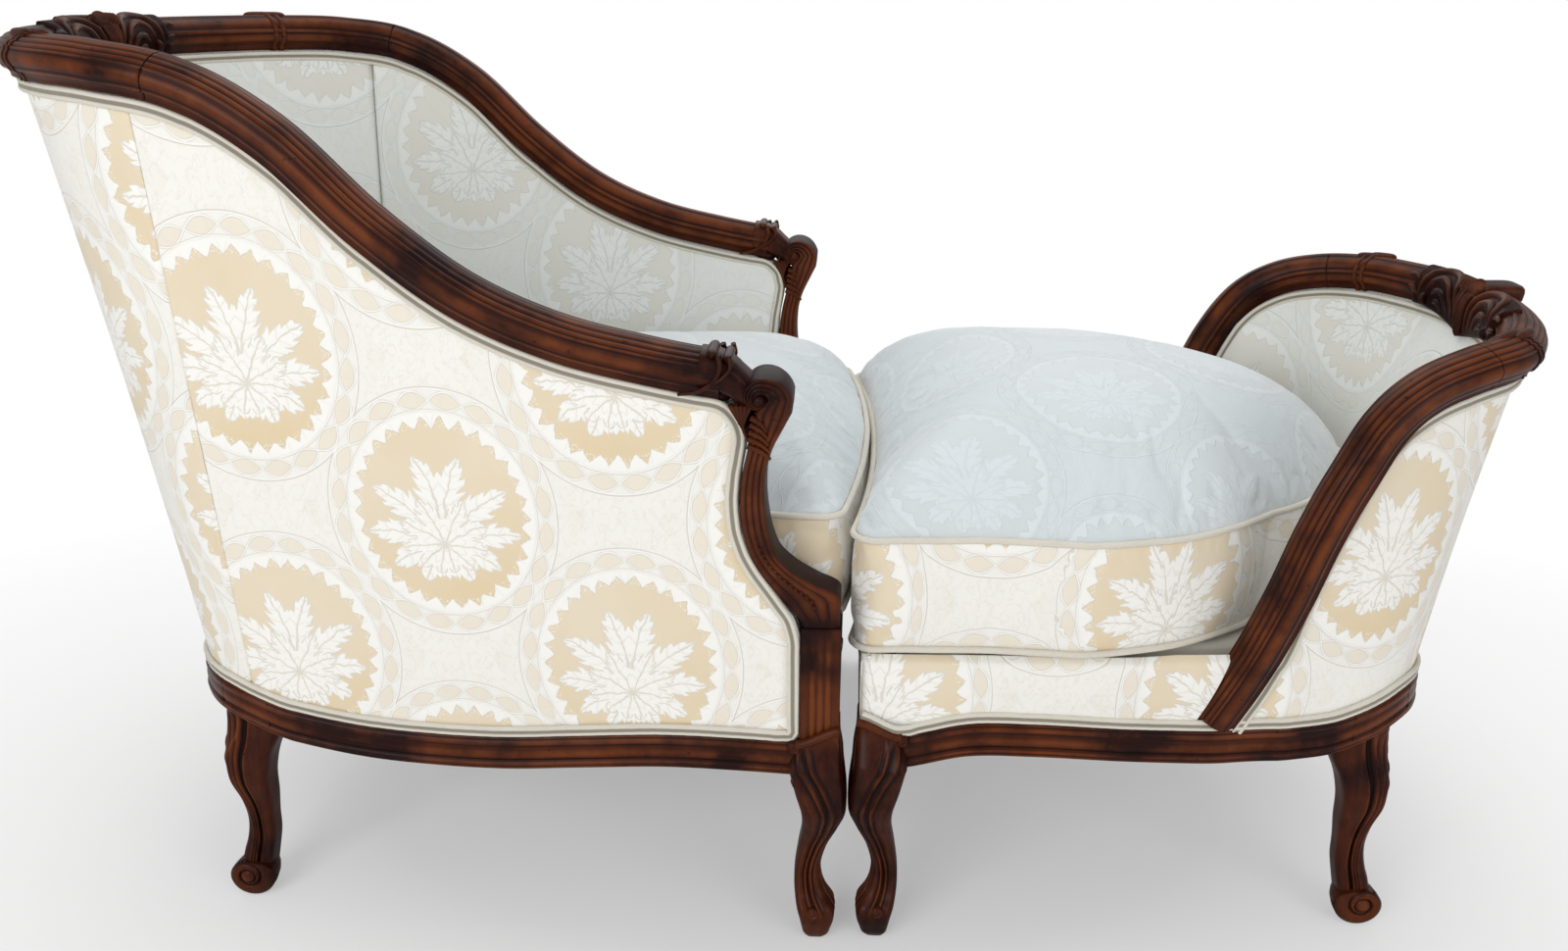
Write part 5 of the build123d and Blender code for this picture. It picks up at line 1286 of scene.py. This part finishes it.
# ---- Bands under the ottoman's cushion, and the borders in front of the decks ----
EDGE_ROLL = 0.009
BAND_START = 0.0248
for sign, label in SIDES:
    lane, eta = np.meshgrid(np.linspace(0, 1, 150), np.linspace(0, 1, 26), indexing="ij")
    rail_t = np.linspace(0.72, 0.95, 120)
    rail_z = ottoman.look(ottoman.rh, rail_t)
    t = BAND_START + (np.interp(0.272 + 0.083 * eta, rail_z, rail_t) - 0.045 - BAND_START) * lane
    foot = ottoman.look(ottoman.ll, t) + CLOTH_LIFT
    room = ottoman.deck - foot
    z = foot + room * eta
    fall = roll_off(np.minimum(np.minimum((1 - eta) * room, (t - BAND_START) * 0.5), 1.0), EDGE_ROLL)
    reach = ottoman.cover(t, z) - fall + 0.0045 * np.sin(math.pi * eta) + 0.001 * soft_wave(t, z, 1.5)
    uv = np.stack([ottoman.run_length(t), z], -1)
    build = Build()
    shell(build, ottoman.at(t, reach, z), uv, ottoman.at(t, ottoman.cover(t, z) - 0.010, z))
    build.make(f"ottoman_band_{label}", ottoman_cloth, "ottoman", "wall_damask", [f"ottoman_side_band_{label}"],
               pad=0.7, sign=sign)

BORDER_FACE, BORDER_BACK = 0.0123, 0.0225
for wall, body, inset in ((chair, "chair", 0.046), (ottoman, "ottoman", BORDER_FACE)):
    f = wall.facing
    half = float(wall.look(wall.lr, 0.0)) - inset
    low, high = float(wall.look(wall.ll, 0.0)) + HAIR, wall.deck
    y, eta = np.meshgrid(np.linspace(-half, half, 120), np.linspace(0, 1, 30), indexing="ij")
    z = low + (high - low) * eta
    fall = roll_off(np.minimum(1 - eta, eta) * (high - low), EDGE_ROLL)
    x = BORDER_FACE + fall - 0.0010 * np.sin(math.pi * eta)
    front = np.stack([f * x + ORIGIN_X, y, z], -1)
    back = np.stack([f * (x * 0 + BORDER_BACK) + ORIGIN_X, y, z], -1)
    build = Build()
    shell(build, front, np.stack([y + 0.4, z], -1), back, flip=f < 0)
    build.make(f"{body}_border_soft", box_cloth, body, "wall_damask", [f"{body}_front_border"], pad=0.7)


# ---- Decks, hessian and dust covers ----
def slab(name, mat, wall, body, slot_name, start, inset, low, high, replaces, pad):
    """Flat sheet or pad inside the walls, with a rounded upper edge."""
    t = np.linspace(start, 4 - start, 160)
    outline = wall.at(t, wall.look(wall.lr, t) - inset, 0)[:, :2]
    loop = np.concatenate([outline, np.linspace(outline[-1], outline[0], 42)[1:-1]])
    centre = np.array([loop[:, 0].mean(), 0.0])
    half_wide = 0.25
    edge = min(0.008, (high - low) / 2)
    levels = ((1.0, low), (1.0, high - edge), (1 - 0.3 * edge / half_wide, high - edge * 0.25),
              (1 - edge / half_wide, high), (0.85, high), (0.65, high), (0.45, high))
    points = np.stack([np.concatenate([centre + (loop - centre) * k, np.full((len(loop), 1), z)], 1)
                       for k, z in levels])
    build = Build()
    build.grid(points, points[..., :2] + 1.0, ring=True, caps=True, flip=wall.facing < 0)
    build.make(name, mat, body, slot_name, replaces, pad=pad)


HESSIAN_THICK = 0.002
for wall, body, start, ledge in ((chair, "chair", 0.0833, 0.262), (ottoman, "ottoman", 0.1046, 0.275)):
    hessian_low = wall.strip + HAIR
    dust_low = ledge - 0.019
    slab(f"{body}_deck_soft", deck_material, wall, body, "deck_cloth", start, 0.046,
         hessian_low + HESSIAN_THICK + HAIR, wall.deck - 0.001, [f"{body}_deck_pad"], 0.8)
    slab(f"{body}_hessian_cloth", hessian_material, wall, body, "hessian", start, 0.024, hessian_low,
         wall.strip + 0.0022, [f"{body}_hessian"], 0.0)
    slab(f"{body}_dust_cloth", dust_material, wall, body, "dust_cloth", start, 0.0385, dust_low, dust_low + 0.0014,
         [f"{body}_dust_cover"], 0.0)


# ---- Cushions ----
def arc(p0, p1, p2, count):
    """Points on the circle through three plan points, without the last."""
    p0, p1, p2 = (np.array(p, float) for p in (p0, p1, p2))
    a, b = p1 - p0, p2 - p0
    cross = a[0] * b[1] - a[1] * b[0]
    if abs(cross) < 1e-7:
        return p0 + (p2 - p0) * np.linspace(0, 1, count, endpoint=False)[:, None]
    d = 2 * cross
    centre = p0 + np.array([b[1] * (a @ a) - a[1] * (b @ b), a[0] * (b @ b) - b[0] * (a @ a)]) / d
    radius = np.linalg.norm(p0 - centre)
    angles = [math.atan2(*(p - centre)[::-1]) for p in (p0, p1, p2)]
    mid = (angles[1] - angles[0]) % (2 * math.pi)
    end = (angles[2] - angles[0]) % (2 * math.pi)
    if mid > end:
        end -= 2 * math.pi
    w = angles[0] + end * np.linspace(0, 1, count, endpoint=False)
    return centre + radius * np.stack([np.cos(w), np.sin(w)], -1)


def closed_outline(arcs, count=360):
    half = np.concatenate([arc(*piece, 60) for piece in arcs] + [np.array([arcs[-1][2]])])
    whole = np.concatenate([half, (half * np.array([1, -1]))[::-1][1:-1]])
    d = run_along(np.concatenate([whole, whole[:1]]))
    want = np.linspace(0, d[-1], count, endpoint=False)
    ring = np.concatenate([whole, whole[:1]])
    return np.stack([np.interp(want, d, ring[:, 0]), np.interp(want, d, ring[:, 1])], -1)


def chair_arcs():
    heights = np.array([0.380, 0.4425, 0.505])

    def spot(t):
        reach = min(float(chair.pad(np.array(t), h)) for h in heights) - 0.014
        p = chair.at(np.array(t), reach, 0.0)
        return (float(p[0]) - ORIGIN_X, float(p[1]))

    side_y = spot(0.10)[1]
    front, bow, corner = -0.009, 0.0145, 0.026
    bend = corner * (1 - math.sqrt(0.5))
    rear = spot(0.92)
    middle = ((front - corner + rear[0]) / 2, (side_y + rear[1]) / 2 - 0.005)
    return [((bow, 0), (front + (bow - front) * 0.72, (side_y - corner) / 2), (front, side_y - corner)),
            ((front, side_y - corner), (front - bend, side_y - bend), (front - corner, side_y)),
            ((front - corner, side_y), middle, rear), (rear, spot(1.22), spot(1.5)),
            (spot(1.5), spot(1.75), spot(2.0))]


def ottoman_arcs():
    half, front, hollow, corner = 0.308, 0.002, 0.0255, 0.026
    bend = corner * (1 - math.sqrt(0.5))
    return [((hollow, 0), (front + (hollow - front) * 0.76, (half - corner) / 2), (front, half - corner)),
            ((front, half - corner), (front + bend, half - bend), (front + corner, half)),
            ((front + corner, half), ((front + corner + 0.240) / 2, half - 0.005), (0.240, half)),
            ((0.240, half), (0.365, 0.270), (0.455, 0.205)), ((0.455, 0.205), (0.552, 0.115), (0.592, 0))]


CROWN = np.array(((0, 0), (0.04, 0.20), (0.11, 0.42), (0.21, 0.63), (0.34, 0.80),
                  (0.50, 0.92), (0.68, 0.98), (0.86, 1.0),
                  (1.0, 1.0)))


def cushion(body, arcs, foot, seam, crown, nodes, name):
    """Loose cushion: a crowned case blown out between its held seams, then its two piped seams."""
    line = closed_outline(arcs)
    low, high = line.min(0), line.max(0)
    centre = np.array([(low[0] + high[0]) / 2, 0.0])
    half_long, half_wide = (high[0] - low[0]) / 2, high[1]
    way_out = (line - centre) / np.linalg.norm(line - centre, axis=1, keepdims=True)
    d = run_along(line)
    pucker = np.sin(d / 0.021) * 0.55 + np.sin(d / 0.0137 + 1.3) * 0.45
    sag = 0.0016 * np.sin(np.linspace(0, 8 * math.pi, len(line)) + 0.6)
    low_seam = foot + 0.009

    def ring(inset, z, ripple=0.0):
        scale = np.array([1 - inset / half_long, 1 - inset / half_wide])
        xy = centre + (line - centre) * scale + way_out * np.asarray(ripple)[..., None]
        return np.concatenate([xy, np.broadcast_to(z, (len(line),))[:, None]], 1)

    rings = [ring(half_wide * share, foot + 0.0005) for share in (0.97, 0.7, 0.4, 0.2, 0.1, 0.05)]
    rings += [ring(half_wide * share, foot + 0.0005 + (0.03 - share) * 0.25) for share in (0.03, 0.01)]
    for k in np.linspace(0, 1, 22):
        ripple = (-0.0012 + 0.0012 * math.sin(math.pi * k)
                  + 0.0022 * soft_wave(d * 1.3, k * 0.3) * math.sin(math.pi * k))
        r = ring(0.0, low_seam + (seam - low_seam) * k, ripple)
        r[:, 2] += sag * k
        rings.append(r)
    for share in np.concatenate([np.linspace(0.015, 0.16, 12), np.linspace(0.20, 0.97, 30)]):
        r = ring(share * half_wide, seam + np.interp(share, CROWN[:, 0], CROWN[:, 1]) * (crown - 0.008))
        r[:, 2] += pucker * 0.0018 * math.exp(-((share - 0.05) / 0.05) ** 2) + sag * math.exp(-share / 0.05)
        r[:, 2] += 0.0040 * soft_wave(r[:, 0] * 0.55, r[:, 1] * 0.55) * smooth(share / 0.12) * (1 - 0.3 * share)
        rings.append(r)
    build = Build()
    build.grid(np.stack(rings) + np.array([ORIGIN_X, 0, 0]), ring=True, caps=True)
    start = bpy.data.meshes.new(name + "_start")
    start.from_pydata(np.concatenate(build.verts).tolist(), [], build.faces)
    case = bpy.data.objects.new(name + "_start", start)
    bpy.context.scene.collection.objects.link(case)
    remesh = case.modifiers.new("remesh", "REMESH")
    remesh.mode = "VOXEL"
    remesh.voxel_size = 0.0060
    mesh = bpy.data.meshes.new_from_object(case.evaluated_get(bpy.context.evaluated_depsgraph_get()))
    bpy.data.objects.remove(case)
    mesh.name = name
    obj = bpy.data.objects.new(name, mesh)
    bpy.context.scene.collection.objects.link(obj)
    rest = np.empty(len(mesh.vertices) * 3, dtype=np.float32)
    mesh.vertices.foreach_get("co", rest)
    rest = rest.reshape(-1, 3).astype(float)
    flat = rest[:, :2] - np.array([ORIGIN_X, 0])
    near = np.concatenate([((part[:, None] - line[None]) ** 2).sum(-1).argmin(1)
                           for part in np.array_split(flat, 12)])
    inside = np.linalg.norm(flat - line[near], axis=1)
    seam_here = seam + sag[near]
    rim = inside < 0.0075
    held = (rest[:, 2] < foot + 0.003) | (rim & (np.abs(rest[:, 2] - seam_here) < 0.0050)) \
        | (rim & (np.abs(rest[:, 2] - low_seam) < 0.0050))
    group = obj.vertex_groups.new(name="held")
    group.add(np.flatnonzero(held).tolist(), 1.0, "REPLACE")
    swell = obj.modifiers.new("swell", "CLOTH")
    swell.settings.vertex_group_mass = "held"
    swell.settings.use_pressure = True
    swell.settings.uniform_pressure_force = 4.0
    swell.settings.quality = 5
    swell.settings.tension_stiffness = 12
    swell.settings.compression_stiffness = 12
    swell.settings.shear_stiffness = 5
    swell.settings.bending_stiffness = 0.15
    swell.settings.shrink_min = -0.018
    swell.settings.effector_weights.gravity = 0
    for frame_number in range(1, 21):
        bpy.context.scene.frame_set(frame_number)
    blown = obj.evaluated_get(bpy.context.evaluated_depsgraph_get()).to_mesh()
    moved = np.empty(len(rest) * 3, dtype=np.float32)
    blown.vertices.foreach_get("co", moved)
    moved = moved.reshape(-1, 3).astype(float) - rest
    obj.modifiers.remove(swell)
    obj.vertex_groups.clear()
    bpy.context.scene.frame_set(1)
    cap = np.where(rim & (rest[:, 2] < seam_here), 0.0062, 0.0110)[:, None]
    size = np.linalg.norm(moved, axis=1, keepdims=True) + 1e-9
    moved = moved * (cap * np.tanh(size / cap) / size)
    mesh.vertices.foreach_set("co", (rest + moved).astype(np.float32).ravel())

    # The pattern is laid from the case as cut: the top in plan, the boxing round the outline
    polys = len(mesh.polygons)
    middles = np.empty(polys * 3, dtype=np.float32)
    normals = np.empty(polys * 3, dtype=np.float32)
    mesh.polygons.foreach_get("center", middles)
    mesh.polygons.foreach_get("normal", normals)
    loops = np.empty(len(mesh.loops), dtype=np.int32)
    mesh.loops.foreach_get("vertex_index", loops)
    totals = np.empty(polys, dtype=np.int32)
    mesh.polygons.foreach_get("loop_total", totals)
    owner = np.repeat(np.arange(polys), totals)
    face_z = np.bincount(owner, rest[loops, 2]) / totals
    face_seam = np.bincount(owner, seam_here[loops]) / totals
    on_top = face_z > face_seam
    begin = 0.2
    if body.startswith("ottoman"):
        begin = d[np.argmin(np.abs(line[:, 0] - 0.333) + np.abs(line[:, 1] + 0.30))]
    round_u = d[near][loops]
    whole = d[-1] + np.linalg.norm(line[0] - line[-1])
    first = round_u[np.concatenate([[0], np.cumsum(totals)[:-1]])][owner]
    round_u = round_u - whole * np.round((round_u - first) / whole)
    side_uv = np.stack([round_u - begin + 0.333, rest[loops, 2]], -1)
    spread = rest[:, :2] - centre - np.array([ORIGIN_X, 0])
    drop = np.clip(seam_here + crown - rest[:, 2], 0, None)
    spread = spread * (1 + 0.9 * drop / np.maximum(np.linalg.norm(spread, axis=1), 0.05))[:, None]
    top_uv = (spread + centre + np.array([ORIGIN_X, 0.5]))[loops]
    uv = np.where(on_top[owner][:, None], top_uv, side_uv)
    layer = mesh.uv_layers.new(name="cloth")
    layer.data.foreach_set("uv", uv.astype(np.float32).ravel())
    mesh.materials.clear()
    mesh.materials.append(seat_top_shade_sheen_cloth)
    mesh.materials.append(box_cloth)
    mesh.polygons.foreach_set("material_index", np.where(on_top, 0, 1).astype(np.int32))
    mesh.polygons.foreach_set("use_smooth", [True] * polys)
    mesh.update()
    finer = obj.modifiers.new("finer", "SUBSURF")
    finer.levels = finer.render_levels = 1
    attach(obj, body)
    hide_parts(nodes[0])

    cord = Build()
    for z, lift in ((seam, 1.0), (low_seam, 0.0)):
        path = ring(-0.0012, z)
        path[:, 2] += sag * lift + pucker * 0.0004
        path[:, 0] += ORIGIN_X
        out = np.concatenate([line - centre, np.zeros((len(line), 1))], 1)
        tube(cord, path, 0.0036, side=out, closed=True, count=12)
        # a thin darker tube on the inner side of each cord: painted shade along the piping (wear below zero)
        out = out / np.linalg.norm(out, axis=1, keepdims=True)
        tube(cord, path - out * 0.0036 + np.array([0, 0, 0.0008 if lift else -0.0008]), 0.0010, side=out, closed=True,
             count=8, wear=-0.8)
    cord.make(name + "_cord", welt_cloth, body, "cushion_piping", nodes[1:])


cushion("chair_cushion", chair_arcs(), 0.3803, 0.505, 0.095,
        ["chair_cushion", "chair_cushion_piping"], "chair_seat_cushion")
cushion("ottoman_cushion", ottoman_arcs(), 0.3553, 0.490, 0.118, ["ottoman_cushion", "ottoman_cushion_piping"],
        "ottoman_seat_cushion")


# ---- Floor, light ----
def floor():
    """Pale floor that keeps the shadow near the object and runs out to white."""
    mesh = bpy.data.meshes.new("floor")
    size = 60
    mesh.from_pydata([(-size, -size, 0), (size, -size, 0), (size, size, 0), (-size, size, 0)], [], [(0, 1, 2, 3)])
    obj = bpy.data.objects.new("floor", mesh)
    bpy.context.scene.collection.objects.link(obj)
    obj.location = (0, 0, -0.0004)
    mat, tree, shader = material("floor_paint")
    output = tree.nodes["Material Output"]
    coords = tree.nodes.new("ShaderNodeTexCoord")
    tone = noise(tree, coords.outputs["Object"], 3.0)
    tree.links.new(mix_color(tree, tone, (0.86, 0.86, 0.86), (0.90, 0.90, 0.90)), shader.inputs["Base Color"])
    shader.inputs["Roughness"].default_value = 0.9
    shader.inputs["Specular IOR Level"].default_value = 0.1
    split = tree.nodes.new("ShaderNodeSeparateXYZ")
    tree.links.new(coords.outputs["Object"], split.inputs[0])
    away = ((E(split.outputs[0]) * 0.80) ** 2 + (E(split.outputs[1]) * 1.25) ** 2).sqrt()
    path = tree.nodes.new("ShaderNodeLightPath")
    seen = E(path.outputs["Is Camera Ray"])
    fade = E.op("MULTIPLY", E.op("SUBTRACT", away, 0.45), 0.95, clamp=True)
    bright = tree.nodes.new("ShaderNodeEmission")
    bright.inputs["Color"].default_value = (1, 1, 1, 1)
    mixer = tree.nodes.new("ShaderNodeMixShader")
    tree.links.new((seen * (0.30 + fade * 0.70)).socket, mixer.inputs[0])
    tree.links.new(shader.outputs[0], mixer.inputs[1])
    tree.links.new(bright.outputs[0], mixer.inputs[2])
    tree.links.new(mixer.outputs[0], output.inputs[0])
    mesh.materials.append(mat)
    obj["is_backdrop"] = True


floor()


def area(name, spot, aim, size, power):
    data = bpy.data.lights.new(name, "AREA")
    data.shape = "RECTANGLE"
    data.size, data.size_y = size
    data.energy = power
    obj = bpy.data.objects.new(name, data)
    bpy.context.scene.collection.objects.link(obj)
    obj.location = spot
    obj.rotation_euler = (Vector(aim) - Vector(spot)).to_track_quat("-Z", "Y").to_euler()


area("key", (-1.5, -2.9, 1.7), (0, 0, 0.45), (2.0, 1.6), 44)
area("fill", (2.2, -2.5, 1.4), (0, 0, 0.4), (1.8, 1.4), 19)
area("overhead", (0.2, 0.8, 2.8), (0, 0, 0.3), (2.4, 2.0), 29)
area("back", (0.0, 3.0, 1.9), (0, 0, 0.5), (2.6, 1.6), 12)

world = bpy.data.worlds.new("studio")
bpy.context.scene.world = world
world.use_nodes = True
tree = world.node_tree
tree.nodes.clear()
path = tree.nodes.new("ShaderNodeLightPath")
soft, shown = (node(tree, "ShaderNodeBackground", Color=(1, 1, 1, 1), Strength=power) for power in (0.46, 1.0))
mixer = tree.nodes.new("ShaderNodeMixShader")
out = tree.nodes.new("ShaderNodeOutputWorld")
for source, target in ((path.outputs["Is Camera Ray"], mixer.inputs[0]), (soft.outputs[0], mixer.inputs[1]),
                       (shown.outputs[0], mixer.inputs[2]), (mixer.outputs[0], out.inputs[0])):
    tree.links.new(source, target)

low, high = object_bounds()
